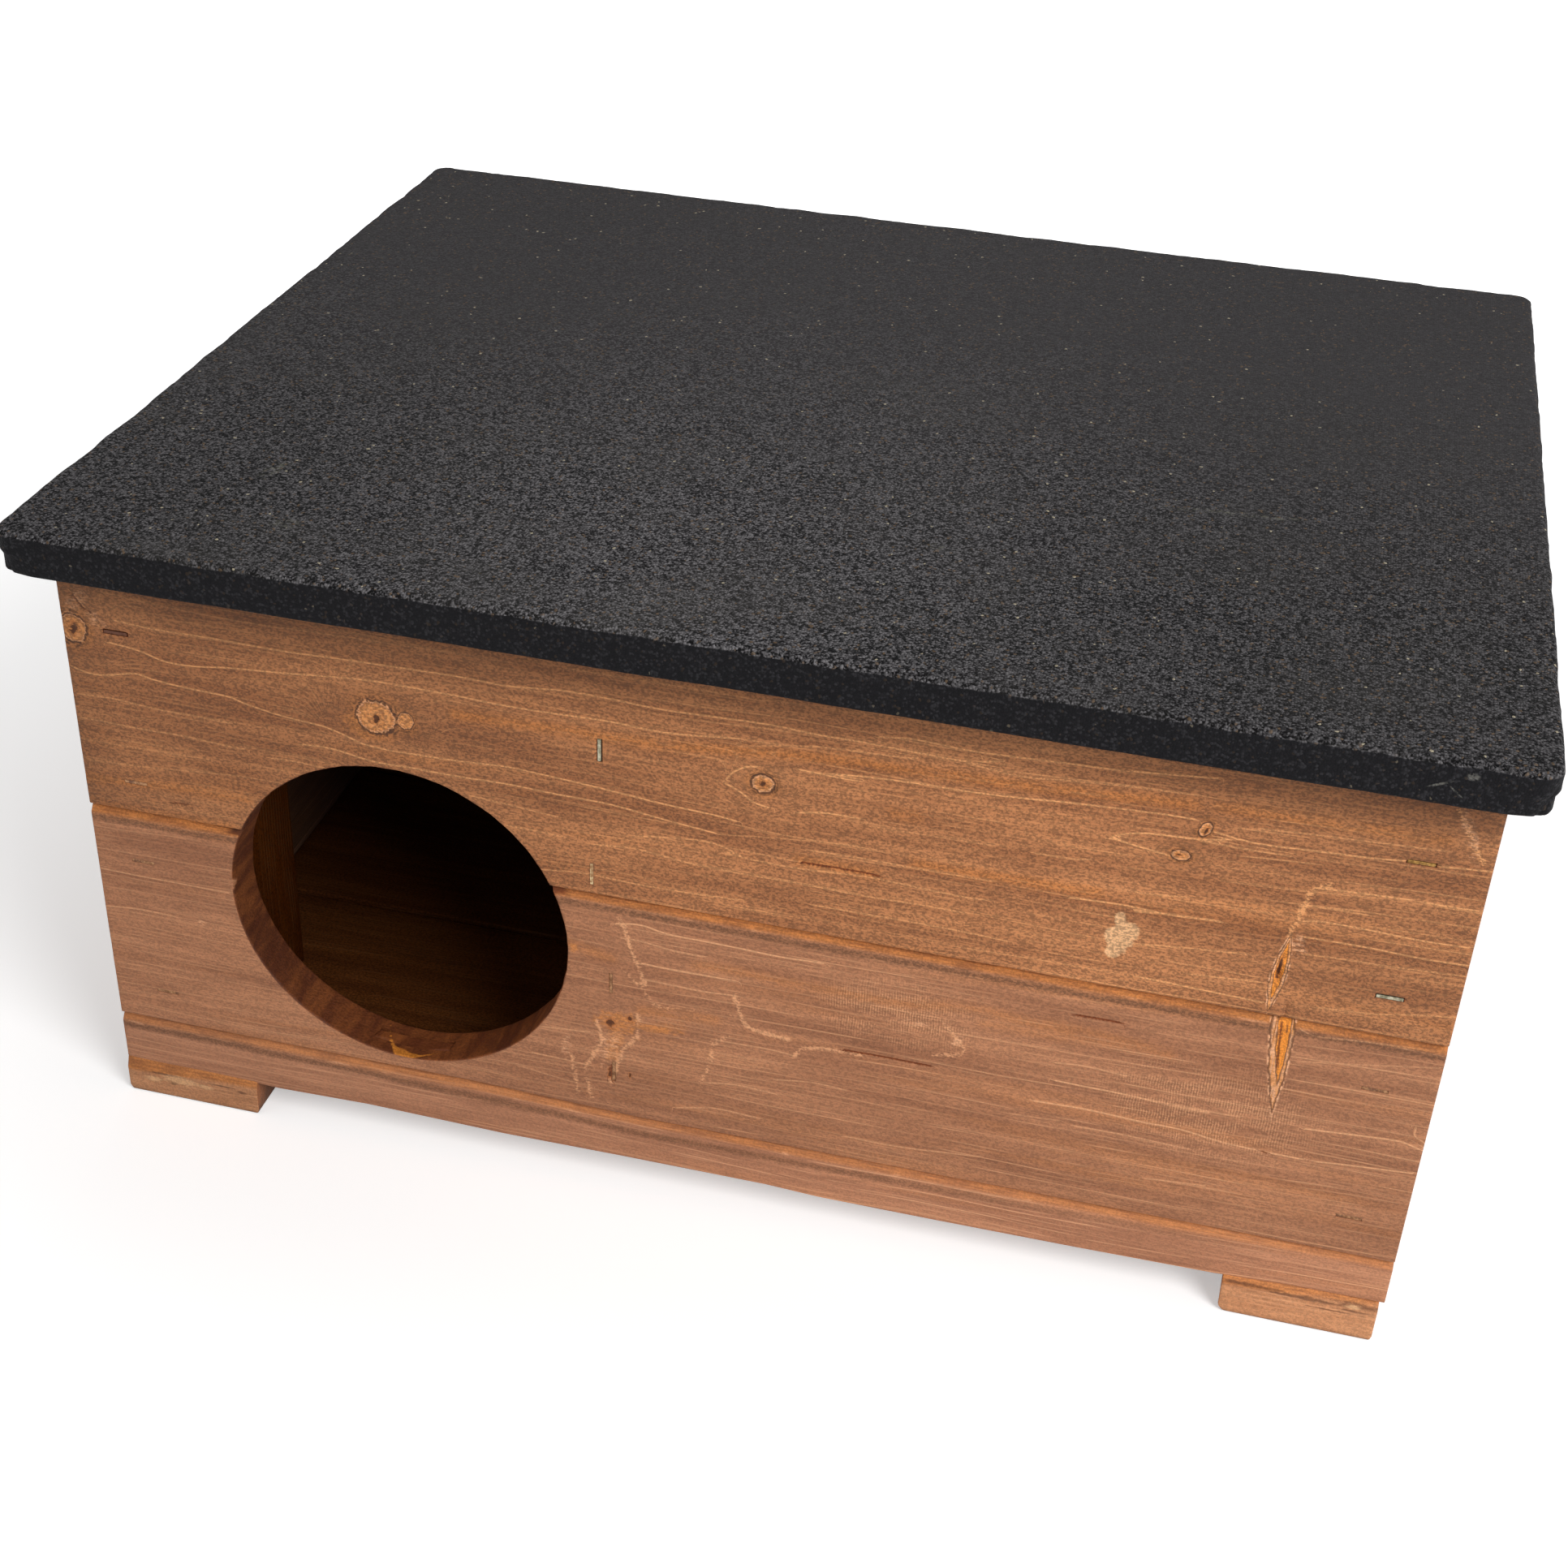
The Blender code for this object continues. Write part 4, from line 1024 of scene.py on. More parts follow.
def drawn_values(x, y, z, outside, tone):
    """What the front's boards show besides: the strokes, the staples' slots and the way in's rim."""
    line, line_force = stroke_field(PALE_LINES, x, z, THIN_REACH)
    check, check_and_slot_shade = stroke_field(DARK_CHECKS, x, z, THIN_REACH)
    amber, amber_force = stroke_field(AMBER_BANDS, x, z, AMBER_REACH)
    torn, torn_force = stroke_field(TORN_EDGES, x, z, TORN_REACH)
    shadow = staple_shadow(x, y, z)
    from_hole = np.hypot(x - HOLE_X, z - HOLE_Z)
    bore = 1 - fade(from_hole, HOLE_RADIUS + 0.25, HOLE_RADIUS + 0.6)
    bore = np.where(y > 0.6, 1 - fade(from_hole, HOLE_RADIUS + 3, HOLE_RADIUS + 6), bore)
    chip_x, chip_z = on_front(CHIP_PLACE)
    chip = np.hypot(x - chip_x, z - chip_z) + 0.7 * y
    return {
        "line": line,
        "line_force": line_force * outside,
        # the staples' slots get painted shade in the dark checks' colour
        "check": np.where(shadow > 0, 0, check),
        "check_and_slot_shade": np.maximum(shadow, check_and_slot_shade * outside),
        "amber": amber_force * bell(amber, AMBER_WIDTH) * outside,
        "torn_edge": torn_force * bell(torn, TORN_WIDTH) * outside,
        # painted shade under the roof's overhang darkens the front's top
        "tone": tone * (1 - ROOF_SHADE * fade(z, *ROOF_SHADE_HEIGHTS)),
        "plain": 0.4 + 0.3 * fade(x, 150, 330),
        "raw": bore * (z < HOLE_Z) * raw_crescent(x - on_front(RAW_PLACE)[0], y),
        "cut": bore * fade(chip, 0.7 * CHIP_SIZE, CHIP_SIZE),
    }


def board_values(x, y, z, facts):
    """What the wood material reads at each vertex of a board."""
    seed, low, high = facts["seed"], facts["low"], facts["high"]
    ring = z - low + 0.9 * y
    ring += 3.0 * smooth_noise(x, z, 170, 60, seed) + 1.1 * smooth_noise(x, z, 55, 22, seed + 1)
    # the tone, partly the board's own and partly painted light and shade, from its lower to its upper edge
    places, *tones = zip(*facts["tone"])
    low_tone, high_tone = [np.interp(x, places, tone) for tone in tones]
    tone = low_tone + (high_tone - low_tone) * np.clip((z - low) / (high - low), 0, 1)
    values = {"ring": flow_round(facts["knots"], x, z, ring), "seed": seed * 53.0, "warmth": facts["warmth"],
              "tone": tone, "plain": 0.15 if facts["indoors"] else 0.9, "cut": 0.0}
    if facts["drawn"]:
        values.update(drawn_values(x, y, z, 1 - fade(y, 0.02, V_LEG), tone))
    bore = values["cut"]
    ends = END_DARKNESS * (1 - fade(np.minimum(x - facts["start"], facts["end"] - x), 0.02, 0.12))
    values["cut"] = np.maximum(bore, ends)
    if facts["indoors"]:
        # indoor wood is painted in shade, a little less on the chamfers, which is a painted highlight on the
        # joints
        values["inside"] = 1 - 0.2 * (high - z < UPPER_DROP) * (y < V_LEG)
        values["below_arris"] = FAR
        return values
    thickness = facts["back"] - facts["face"]
    # painted shade on the boards' backs and in the way in, more of it towards the rim's left
    shade = np.interp(x, *zip(*BORE_SHADES))
    values["inside"] = np.maximum(fade(y, thickness - 0.9, thickness - 0.1), shade * bore)
    arris = high - (0 if facts["upper"] == "flat" else UPPER_DROP)
    values["below_arris"] = np.where(y < V_LEG, arris - z, FAR)
    bevel = fade(z, arris - 0.6, arris + 1.0) * (y < V_LEG + 0.2)
    if facts["corners"]:
        deep = facts["lower"] + np.interp(x, (0, 56), (1.4, -1.4))
        bevel = np.maximum(bevel, (1 - fade(y, deep - 0.8, deep + 0.4)) * (z < low + V_LEG + 0.1))
    values["bevel"] = bevel * facts["bevel"]
    places, force, depth = zip(*facts["rub"])
    values["rub"] = np.interp(x, places, force) * (y < V_LEG)
    values["off_rub"] = values["below_arris"] - np.interp(x, places, depth)
    return values


def sag(x, y, z):
    """How far the front wall's lowest part hangs. In front of the feet only its lip does."""
    edge, joint = np.interp(x, *zip(*EDGE_SAG)), np.interp(x, *zip(*JOINT_SAG))
    over_foot = (x < FOOT_ENDS[0]) | (x > FOOT_ENDS[1])
    edge = np.where(over_foot, edge * (1 - np.clip(y / V_LEG, 0, 1)), edge)
    low_part = edge + (joint - edge) * np.clip(z / JOINT_LEVEL, 0, 1)
    return low_part * (1 - np.clip((z - JOINT_LEVEL) / (SAG_TOP - JOINT_LEVEL), 0, 1))


def rounded_corners(x, y, facts):
    """Where the points of a foot lie along it once its two lower corners are rounded."""
    start, end, bottom = facts["start"], facts["end"], facts["back"] - facts["face"]
    pulls = []
    for radius in facts["corners"]:
        rise = np.clip(y - (bottom - radius), 0, radius)
        pulls.append(radius - np.sqrt(radius ** 2 - rise ** 2))
    left, right = pulls
    return start + left + (x - start) * (end - start - left - right) / (end - start)


def drawn_relief(x, z, values, seed):
    """How deep the front's checks, lines, torn and bare places, knots' cores and hearts are."""
    rough = 0.5 + 0.5 * smooth_noise(x, z, 1.7, 1.2, seed)
    torn, core, pith = [nearest_oval(on_wall(shapes), x, z)
                        for shapes in (TORN_PLACES + BARE_PLACES, SPIKE_CORES, FRONT_PITHS)]
    relief = 0.45 * values["check_and_slot_shade"] * bell(values["check"], 0.55)
    relief -= 0.08 * values["line_force"] * bell(values["line"], 0.5)
    relief -= 0.14 * values["torn_edge"]
    relief += (1 - fade(torn, 0.7, 1.1)) * (0.12 + 0.2 * rough)
    relief += (1 - fade(core, 0.2, 0.7)) * (0.5 + 0.6 * rough)
    return relief + 0.7 * (1 - fade(pith, 0.4, 1.1))


def write_values(mesh, values):
    """Gives each vertex of a mesh these numbers, by name. A single number goes to all."""
    for name, value in values.items():
        layer = mesh.attributes.new(name, "FLOAT", "POINT")
        value = np.broadcast_to(np.asarray(value, np.float32), len(mesh.vertices))
        layer.data.foreach_set("value", np.ascontiguousarray(value))


def dress_board(mesh, facts):
    """Writes a board's values to its vertices, and cuts the relief into its face."""
    places = np.empty(len(mesh.vertices) * 3)
    mesh.vertices.foreach_get("co", places)
    places = places.reshape(-1, 3)
    x, y, z = places[:, 0], places[:, 1] - facts["face"], places[:, 2]
    seed = facts["seed"]
    values = board_values(x, y, z, facts)
    knot = nearest_oval(facts["knots"], x, z)
    relief = 0.05 * smooth_noise(x, values["ring"], 60, 1.7, seed + 2)
    relief += 0.06 * smooth_noise(x, z, 30, 9, seed + 3)
    relief += 0.26 * bell(knot - 1, 0.16) + 0.08 * (1 - fade(knot, 0.8, 0.95))
    if facts["drawn"]:
        relief += drawn_relief(x, z, values, seed + 4)
    shallow = (1 - fade(y, 0.02, V_LEG)) * (1 - values["cut"]) * (z > facts["low"] + 0.2)
    places[:, 1] += relief * shallow
    if facts["drawn"]:
        places[:, 2] -= sag(x, y, z)
    if facts["corners"]:
        places[:, 0] = rounded_corners(x, y, facts)
    mesh.vertices.foreach_set("co", places.ravel())
    write_values(mesh, values)


def random_knots(draws, count, length, low, high):
    """Knots for a board that the photograph doesn't show."""
    knots = []
    for _ in range(count):
        size = draws.uniform(2.4, 7.0)
        x, z = draws.uniform(25, length - 25), draws.uniform(low + 14, high - 12)
        knots.append((x, z, size * draws.uniform(1.0, 1.5), size, draws.uniform(-12, 12)))
    return knots


# Staples, in millimetres: how far their slots reach round and under them, and the size of their crowns
OPEN_SLOT, TIGHT_SLOT, SLOT_FLOOR = 0.28, 0.1, 1.35
CROWN_HALF_WIDTH, CROWN_HALF_HEIGHT, CROWN_TOP, CROWN_THICKNESS = 5.6, 0.6, 0.3, 0.7
STAPLE_HEIGHTS = (37.0, 98.0, 134.0, 194.0)
STAPLE_FROM_END = 20.5
FRONT_STAPLES = sorted(node for node in NODES if node.startswith("front_staple"))
# The front staples that don't look as the others do. The filled one's slot is as tight as theirs.
STAPLE_LOOKS = {
    "front_staple_middle_1": "staple_bright",
    "front_staple_middle_2": "staple_filled",
    "front_staple_right_1": "staple_brassy",
    "front_staple_right_2": "staple_bright",
    "front_staple_left_1": "staple_rusty",
}
OPEN_STAPLES = [node for node, look in STAPLE_LOOKS.items() if look != "staple_filled"]


def staple_slot(node):
    """The corners of the slot round the crown of a front staple, in the front wall's millimetres."""
    low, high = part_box(node)
    gap = OPEN_SLOT if node in OPEN_STAPLES else TIGHT_SLOT
    left, right = (low.x - WALL_LEFT) / MM - gap, (high.x - WALL_LEFT) / MM + gap
    bottom, top = (low.z - WALL_BOTTOM) / MM - gap, (high.z - WALL_BOTTOM) / MM + gap
    return (left, -1.0, bottom), (right, SLOT_FLOOR, top)


def staple_shadow(x, y, z):
    """How much shade is painted on the walls and floors of the staples' slots."""
    shadow = np.zeros(len(x))
    for node in FRONT_STAPLES:
        (left, _, bottom), (right, _, top) = staple_slot(node)
        found = (x > left - 0.05) & (x < right + 0.05) & (z > bottom - 0.05) & (z < top + 0.05)
        shadow[found & (y > -0.01) & (y < SLOT_FLOOR + 0.05)] = 1.0 if node in OPEN_STAPLES else 0.35
    return shadow


def slots_cutter(slots):
    return linked("slot_cutter", as_mesh("slots", boxes(slots)))


def crowns(name, middles, half, body, material):
    """Staple crowns as one piece, by their middles and half sizes in metres in the house."""
    shape = boxes([(middle - size, middle + size) for middle, size in zip(middles, half)])
    bmesh.ops.bevel(shape, geom=shape.edges[:], offset=0.14 * MM, segments=2, affect="EDGES")
    mesh = as_mesh(name, shape)
    mesh.shade_smooth()
    mesh.set_sharp_from_angle(angle=math.radians(50))
    mesh.materials.append(material)
    piece = linked(name, mesh)
    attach(piece, body)


# Each wall's directions: along it, into it and up
WALL_FACING = {
    "front": (X_AXIS, Y_AXIS, Z_AXIS),
    "back": (-X_AXIS, -Y_AXIS, Z_AXIS),
    "left": (-Y_AXIS, X_AXIS, Z_AXIS),
    "right": (Y_AXIS, -X_AXIS, Z_AXIS),
}
# The rows of a wall's boards: their edges and warmth, and the hidden walls' tone: painted light, more on the
# lower boards
ROWS = {
    "bottom_strip": (("flat", "tongue"), 0.0, 1.25),
    "middle_board": (("groove", "tongue"), 0.3, 1.1),
    "top_board": (("groove", "tongue"), 1.0, 1.0),
}
# How the front's boards differ from BOARD. FRONT_TONE is partly their own tone, partly painted light and
# shade.
FRONT_TONE = {
    "bottom_strip": ((0, 1.12, 1.12), (250, 1.38, 1.38), (500, 1.43, 1.43)),
    "middle_board": ((0, 1.12, 1.12), (250, 1.09, 1.23), (400, 1.14, 1.2), (500, 1.08, 1.08)),
    "top_board": ((0, 0.68, 0.68), (18, 0.9, 0.88), (150, 0.92, 0.9), (200, 1.1, 0.96), (250, 1.16, 1.0),
                  (310, 1.1, 1.08), (380, 1.16, 1.14), (480, 0.98, 0.94)),
}
FRONT_JOINT_BAND = {
    "bottom_strip": ((20, 1.0, 0.9), (60, 0.95, 1.4), (160, 0.9, 3.0), (225, 0.9, 3.8), (300, 0.85, 2.6),
                     (340, 0.75, 2.4), (420, 0.35, 2.3), (480, 0.05, 2.0)),
    "middle_board": ((0, 0.9, 1.7), (430, 0.95, 1.9), (480, 0.9, 1.2)),
    "top_board": ((0, 0.0, 1.9),),
}
FRONT_BEVEL = {"bottom_strip": 0.6, "middle_board": 0.9, "top_board": 0.9}


def front_cutters(node):
    """What is cut out of a front board: the way in, where it crosses it, and its staples' slots."""
    low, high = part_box(node)
    centre = WALL_BOTTOM + HOLE_Z * MM
    cutters = []
    if low.z < centre + HOLE_RADIUS * MM and high.z > centre - HOLE_RADIUS * MM:
        cutters.append(hole_cutter)
    inside = [s for s in FRONT_STAPLES if low.z < sum(c.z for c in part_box(s)) / 2 < high.z]
    cutters.append(lambda: slots_cutter([staple_slot(staple) for staple in inside]))
    return cutters


def make_front():
    facing = WALL_FACING["front"]
    place = wall_matrix([f"front_{row}" for row in ROWS], facing)
    spikes = list(zip(on_wall(FRONT_SPIKES), on_wall(SPIKE_CORES), SPIKE_TOPS))
    material = wood_material(
        "front_wood", STAIN, knots=on_wall(FRONT_KNOTS), small_knots=on_wall(SMALL_KNOTS),
        piths=on_wall(FRONT_PITHS), spikes=spikes, torn=on_wall(TORN_PLACES), bare=on_wall(BARE_PLACES),
        amber=on_wall(AMBER_PLACES), combs=on_wall(COMB_PLACES))
    for order, (row, (edges, warmth, _)) in enumerate(ROWS.items()):
        node = f"front_{row}"
        make_board(node, place, facing, edges, material, 3 + order, FRONT_GRID, front_cutters(node),
                   knots=on_wall(FRONT_KNOTS + SMALL_KNOTS), drawn=True, warmth=warmth,
                   tone=FRONT_TONE[row], rub=FRONT_JOINT_BAND[row], bevel=FRONT_BEVEL[row])


def wall_staples(side, draws, place, length, facing, material):
    """The staples that hold a hidden wall to its corner posts. Returns their slots in the boards."""
    along, depth, height = facing
    half = CROWN_HALF_WIDTH * along + CROWN_HALF_HEIGHT * height + CROWN_THICKNESS / 2 * depth
    half = Vector(abs(value) * MM for value in half)
    reach_x, reach_z = CROWN_HALF_WIDTH + TIGHT_SLOT, CROWN_HALF_HEIGHT + TIGHT_SLOT
    slots, middles = [], []
    for column in (STAPLE_FROM_END, length - STAPLE_FROM_END):
        for level in STAPLE_HEIGHTS:
            x, z = column + draws.uniform(-2, 2), level + draws.uniform(-2.5, 2.5)
            middles.append(place @ (Vector((x, CROWN_TOP + CROWN_THICKNESS / 2, z)) * MM))
            slots.append(((x - reach_x, -1.0, z - reach_z), (x + reach_x, SLOT_FLOOR, z + reach_z)))
    crowns(f"{side}_wall_staples", middles, [half] * len(middles), FIXED_BODY, material)
    return slots


def felt_staples(material):
    """Staples under the roof that hold the turned-in edge of the felt."""
    level = FELT_LOW.z + 0.0001
    lengthways = Vector((CROWN_HALF_WIDTH, CROWN_HALF_HEIGHT, CROWN_THICKNESS / 2)) * MM
    front, side = (FELT_LOW.y + MOUTH_FRONT * MM) / 2, (FELT_HIGH.x + MOUTH_HALF_WIDTH * MM) / 2
    middles = [Vector((x * MM, front, level)) for x in np.linspace(-225, 225, 9)]
    half = [lengthways] * len(middles)
    for y in np.linspace(-170, 180, 7):
        middles += [Vector((sign * side, y * MM, level)) for sign in (-1, 1)]
        half += [lengthways.yxz] * 2
    crowns("felt_staples", middles, half, ROOF_BODY, material)


def make_wall(side, draws, seed, staple):
    """A wall that the photograph doesn't show."""
    nodes = [f"{side}_{row}" for row in ROWS]
    facing = WALL_FACING[side]
    place = wall_matrix(nodes, facing)
    length = span(nodes, facing[0], place)[1]
    knots = []
    for node in nodes[1:]:
        knots += random_knots(draws, int(draws.integers(2, 5)), length, *span([node], Z_AXIS, place))
    piths = [(x, z, 0.17 * width, 0.24 * height, tilt) for x, z, width, height, tilt in knots]
    material = wood_material(f"{side}_wood", STAIN, knots=knots, piths=piths)
    slots = wall_staples(side, draws, place, length, facing, staple)
    for order, (node, (edges, warmth, tone)) in enumerate(zip(nodes, ROWS.values())):
        if node == "back_top_board":
            edges = ("groove", "chamfered")
        low, high = span([node], Z_AXIS, place)
        own = [(start, end) for start, end in slots if low < start[2] and end[2] < high - TONGUE_LENGTH]
        cutters = [lambda own=own: slots_cutter(own)] if own else []
        make_board(node, place, facing, edges, material, seed + order, WALL_GRID, cutters, knots=knots,
                   warmth=warmth, tone=((0, tone, tone),))


# Bare and dark marks on the front edges of the front feet: X and the depth below the body in millimetres,
# half sizes and tilt
FOOT_MARKS = {
    "left": {"pale": ((23, 9.0, 8.0, 2.2, 0), (11, 10.6, 4.0, 1.4, 0), (34, 9.6, 3.0, 1.2, 0)),
             "dark": ((16, 7.0, 7.0, 0.5, 0), (20, 11.0, 1.6, 1.0, 0), (33, 9.4, 1.6, 1.4, 0),
                      (50, 8.6, 2.4, 0.7, 0), (42, 7.2, 7.0, 0.4, 0))},
    "right": {"pale": ((48, 3.3, 3.0, 1.1, 0),),
              "dark": ((10, 2.8, 14.0, 0.6, 0), (30, 3.6, 16.0, 0.9, 0), (49, 2.7, 9.0, 1.2, 0),
                       (49, 5.3, 8.0, 0.5, 0), (40, 6.9, 12.0, 0.35, 0))},
}
FOOT_BEVEL = {"left": 0.85, "right": 0.75}
# the feet's tone: partly their own, partly painted light, more on the right foot
FOOT_TONE = {"left": 1.04, "right": 1.38}


def make_feet():
    plain_wood = wood_material("foot_wood", FOOT)
    for order, side in enumerate(("left", "right")):
        marked_wood = wood_material(f"foot_{side}_wood", FOOT, marks=FOOT_MARKS[side])
        tone = FOOT_TONE[side]
        for end, facing, seed, material in (("front", (X_AXIS, -Z_AXIS, Y_AXIS), 60 + order, marked_wood),
                                            ("back", (-X_AXIS, -Z_AXIS, -Y_AXIS), 62 + order, plain_wood)):
            node = f"foot_{end}_{side}"
            make_board(node, wall_matrix([node], facing), facing, (FOOT_LEGS[side], "flat"), material, seed,
                       FOOT_GRID, warmth=0.12, tone=((0, tone, tone),), bevel=FOOT_BEVEL[side],
                       corners=FOOT_CORNERS[side])


def make_inside():
    """The floor, the partition, the corner posts and the batten."""
    stained, golden = wood_material("stained_wood", INDOORS), wood_material("post_wood", POST)
    facing = (X_AXIS, -Z_AXIS, Y_AXIS)
    place = wall_matrix(["floor_board_1"], facing)
    for index in range(1, 5):
        edges = ("groove" if index > 1 else "flat", "tongue" if index < 4 else "flat")
        make_board(f"floor_board_{index}", place, facing, edges, stained, 70 + index, INNER_GRID,
                   indoors=True, warmth=1.0)
    facing = (Y_AXIS, -X_AXIS, Z_AXIS)
    boards = {"partition_lower_board": ("flat", "tongue"), "partition_upper_board": ("groove", "flat")}
    place = wall_matrix(list(boards), facing)
    for node, edges in boards.items():
        make_board(node, place, facing, edges, stained, 90, INNER_GRID, indoors=True, warmth=1.0)
    facing = (Z_AXIS, Y_AXIS, -X_AXIS)
    posts = [f"corner_post_{end}_{side}" for side in ("left", "right") for end in ("front", "back")]
    for order, node in enumerate(posts + ["partition_batten"]):
        make_board(node, wall_matrix([node], facing), facing, ("flat", "flat"), golden, 80 + order,
                   INNER_GRID, slot="post_wood", indoors=True, warmth=1.0)


# Roofing felt, in millimetres round the roof's centre: its thickness, the rounding of its corners, of its
# upper edge and of its hem, the spacing of its points, and how far the opening under the roof reaches
FELT_SKIN = 2.0
FELT_CORNER = 8.0
FELT_ROLL = 3.2
FELT_HEM, BACK_HEM = 0.9, 0.4
FELT_STEP, FELT_NEAR_STEP = 3.0, 0.9
MOUTH_HALF_WIDTH, MOUTH_FRONT = 251.0, -195.05
# How many rings of points lie on the top, down the sides, and out of sight under the roof
TOP_RINGS, SIDE_RINGS, INNER_RINGS = 72, 12, 4
# Faint pale scuffs on the roof: X and Y in millimetres, half sizes and tilt
FELT_SCUFFS = (
    (-190.0, -138.0, 4.0, 9.0, 10.0),
    (-168.0, -176.0, 6.0, 4.0, 0.0),
    (150.0, -62.0, 30.0, 2.2, -6.0),
    (52.0, -122.0, 3.0, 3.0, 0.0),
)
# Pale scratches on the side of the roof, near its right end: X and Z
FELT_SCRATCHES = (
    (226.0, 251.0, 4.5, 0.5, -24.0),
    (231.0, 249.0, 3.2, 0.4, 38.0),
    (235.0, 255.0, 2.2, 1.6, 0.0),
)


def felt_outline(half_width, half_depth):
    """Points round a rounded rectangle, closer near its corners, with the outward direction at each."""
    points, outward = [], []
    corners = ((1, -1, -90), (1, 1, 0), (-1, 1, 90), (-1, -1, 180))
    for index, (side, end, start) in enumerate(corners):
        centre = Vector((side * (half_width - FELT_CORNER), end * (half_depth - FELT_CORNER)))
        for share in np.linspace(0, 1, 15):
            angle = math.radians(start + 90 * share)
            direction = Vector((math.cos(angle), math.sin(angle)))
            points.append(centre + direction * FELT_CORNER)
            outward.append(direction)
        side, end, _ = corners[(index + 1) % 4]
        after = Vector((side * (half_width - FELT_CORNER), end * (half_depth - FELT_CORNER)))
        after += direction * FELT_CORNER
        before = points[-1].copy()
        length = (after - before).length
        near = np.arange(1, 15) * FELT_NEAR_STEP
        middle = np.linspace(near[-1], length - near[-1], round((length - 2 * near[-1]) / FELT_STEP) + 1)
        for run in [*near[:-1], *middle, *(length - near[-2::-1])]:
            points.append(before.lerp(after, run / length))
            outward.append(direction)
    return np.array([tuple(p) for p in points]), np.array([tuple(d) for d in outward])


def felt_rings():
    """The rings of points that make the wrapped sheet: top, rolled edge, apron, hem, the return under the
    deck, and the inner side back up to the deck's top."""
    low, high = FELT_LOW / MM, FELT_HIGH / MM
    half, middle = (high - low) / 2, (high + low) / 2
    outline, outward = felt_outline(half.x, half.y)
    run = np.concatenate([[0], np.cumsum(np.linalg.norm(np.diff(outline, axis=0), axis=1))])
    soft = 1 + 0.22 * smooth_noise(run, 0 * run, 16, 1, 31) + 0.12 * smooth_noise(run, 0 * run, 6, 1, 32)
    roll = FELT_ROLL * soft
    back = (outline[:, 1] > half.y - 1.0) & (np.abs(outline[:, 0]) < MOUTH_HALF_WIDTH)
    foot = np.where(back, DECK_LOW.z / MM, low.z)
    rings = []

    def ring(points, level):
        rings.append(np.column_stack([points, np.broadcast_to(level, len(outline))]))

    def inset(distance):
        return outline - outward * np.asarray(distance).reshape(-1, 1)

    for share in np.linspace(0.02, 1, TOP_RINGS):
        ring(inset(roll) * share, high.z)
    for angle in np.linspace(0, math.pi / 2, 7)[1:]:
        ring(inset(roll * (1 - math.sin(angle))), high.z - roll * (1 - math.cos(angle)))
    hem = np.where(back, BACK_HEM, FELT_HEM)
    for share in np.linspace(0, 1, SIDE_RINGS + 1)[1:]:
        ring(outline, (high.z - roll) * (1 - share) + (foot + hem) * share)
    ring(inset(hem * 0.3), foot + hem * 0.3)
    ring(inset(hem), foot)
    mouth = outline.copy()
    mouth[:, 0] = np.clip(mouth[:, 0], -MOUTH_HALF_WIDTH, MOUTH_HALF_WIDTH)
    mouth[:, 1] = np.maximum(mouth[:, 1], MOUTH_FRONT - middle.y)
    mouth = np.where(back[:, None], inset(FELT_SKIN), mouth)
    mouth[:, 1] = np.minimum(mouth[:, 1], half.y - FELT_SKIN)
    lip = low.z + FELT_SKIN
    ring(mouth, foot)
    ring(mouth, np.where(back, foot + 0.05, lip))
    ring(inset(FELT_SKIN), np.where(back, foot + 0.1, lip))
    ring(inset(FELT_SKIN), high.z - FELT_SKIN)
    return np.array(rings), middle


def corner_folds(x, y, z):
    """Where the felt's folded corners lap over the sides: how far each point stands out, and the crease,
    where shade is painted.
    """
    half_width, half_depth = (FELT_HIGH - FELT_LOW).xy / (2 * MM)
    behind = half_depth - np.abs(y)
    sideways = fade(np.abs(x), half_width - 6.5, half_width - 4.0)
    down = np.clip((FELT_HIGH.z / MM - z) / (FELT_HIGH.z - FELT_LOW.z) * MM, 0, 1)
    edge = 1.3 + 3.0 * (1 - down)
    low_part = fade(down, 0.3, 0.6)
    step = fade(behind, edge, edge + 1.5) * (1 - fade(behind, 12, 22))
    crease = bell(behind - edge, 0.75) * sideways * low_part
    corner = fade(np.abs(x), half_width - 16, half_width - 6) * fade(-behind, -16, -6)
    tuck = 1.4 * corner * fade(down, 0.5, 0.66)
    return 0.3 * step * sideways * low_part - 0.9 * crease - tuck, crease


def make_felt(material):
    rings, middle = felt_rings()
    places = rings.reshape(-1, 3).copy()
    x, y, z = places.T
    top = FELT_HIGH.z / MM
    outside = np.arange(len(places)) < (len(rings) - INNER_RINGS) * rings.shape[1]
    lumps = 0.2 * smooth_noise(x, y, 44, 38, 51) + 0.12 * smooth_noise(x, y, 11, 9, 52)
    grains = 0.13 * smooth_noise(x, y + z, 2.1, 1.9, 53)
    z += np.where(outside & (z >= top - 2.4), lumps + grains - 0.45, 0)
    side = fade(top - z, 1.2, 3.4)
    wave = 0.35 * smooth_noise(x + y, z, 24, 30, 54) + 0.12 * smooth_noise(x + y, z, 5, 4, 55) - 0.42
    fold, crease = corner_folds(x, y, z)
    outward = np.column_stack([x, y]) / np.maximum(np.hypot(x, y), 1)[:, None]
    moved = np.minimum(wave * side + fold, -0.03 * side)
    places[:, :2] += outward * (moved * outside)[:, None] + (middle.x, middle.y)
    mesh = tube_mesh("roofing_felt_sheet", places.reshape(rings.shape) * MM, flipped=True)
    write_values(mesh, {"side": side, "crease": crease})
    mesh.shade_smooth()
    mesh.set_sharp_from_angle(angle=math.radians(50))
    mesh.materials.append(material)
    piece = linked("roofing_felt_sheet", mesh)
    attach(piece, ROOF_BODY)
    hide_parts("roofing_felt")


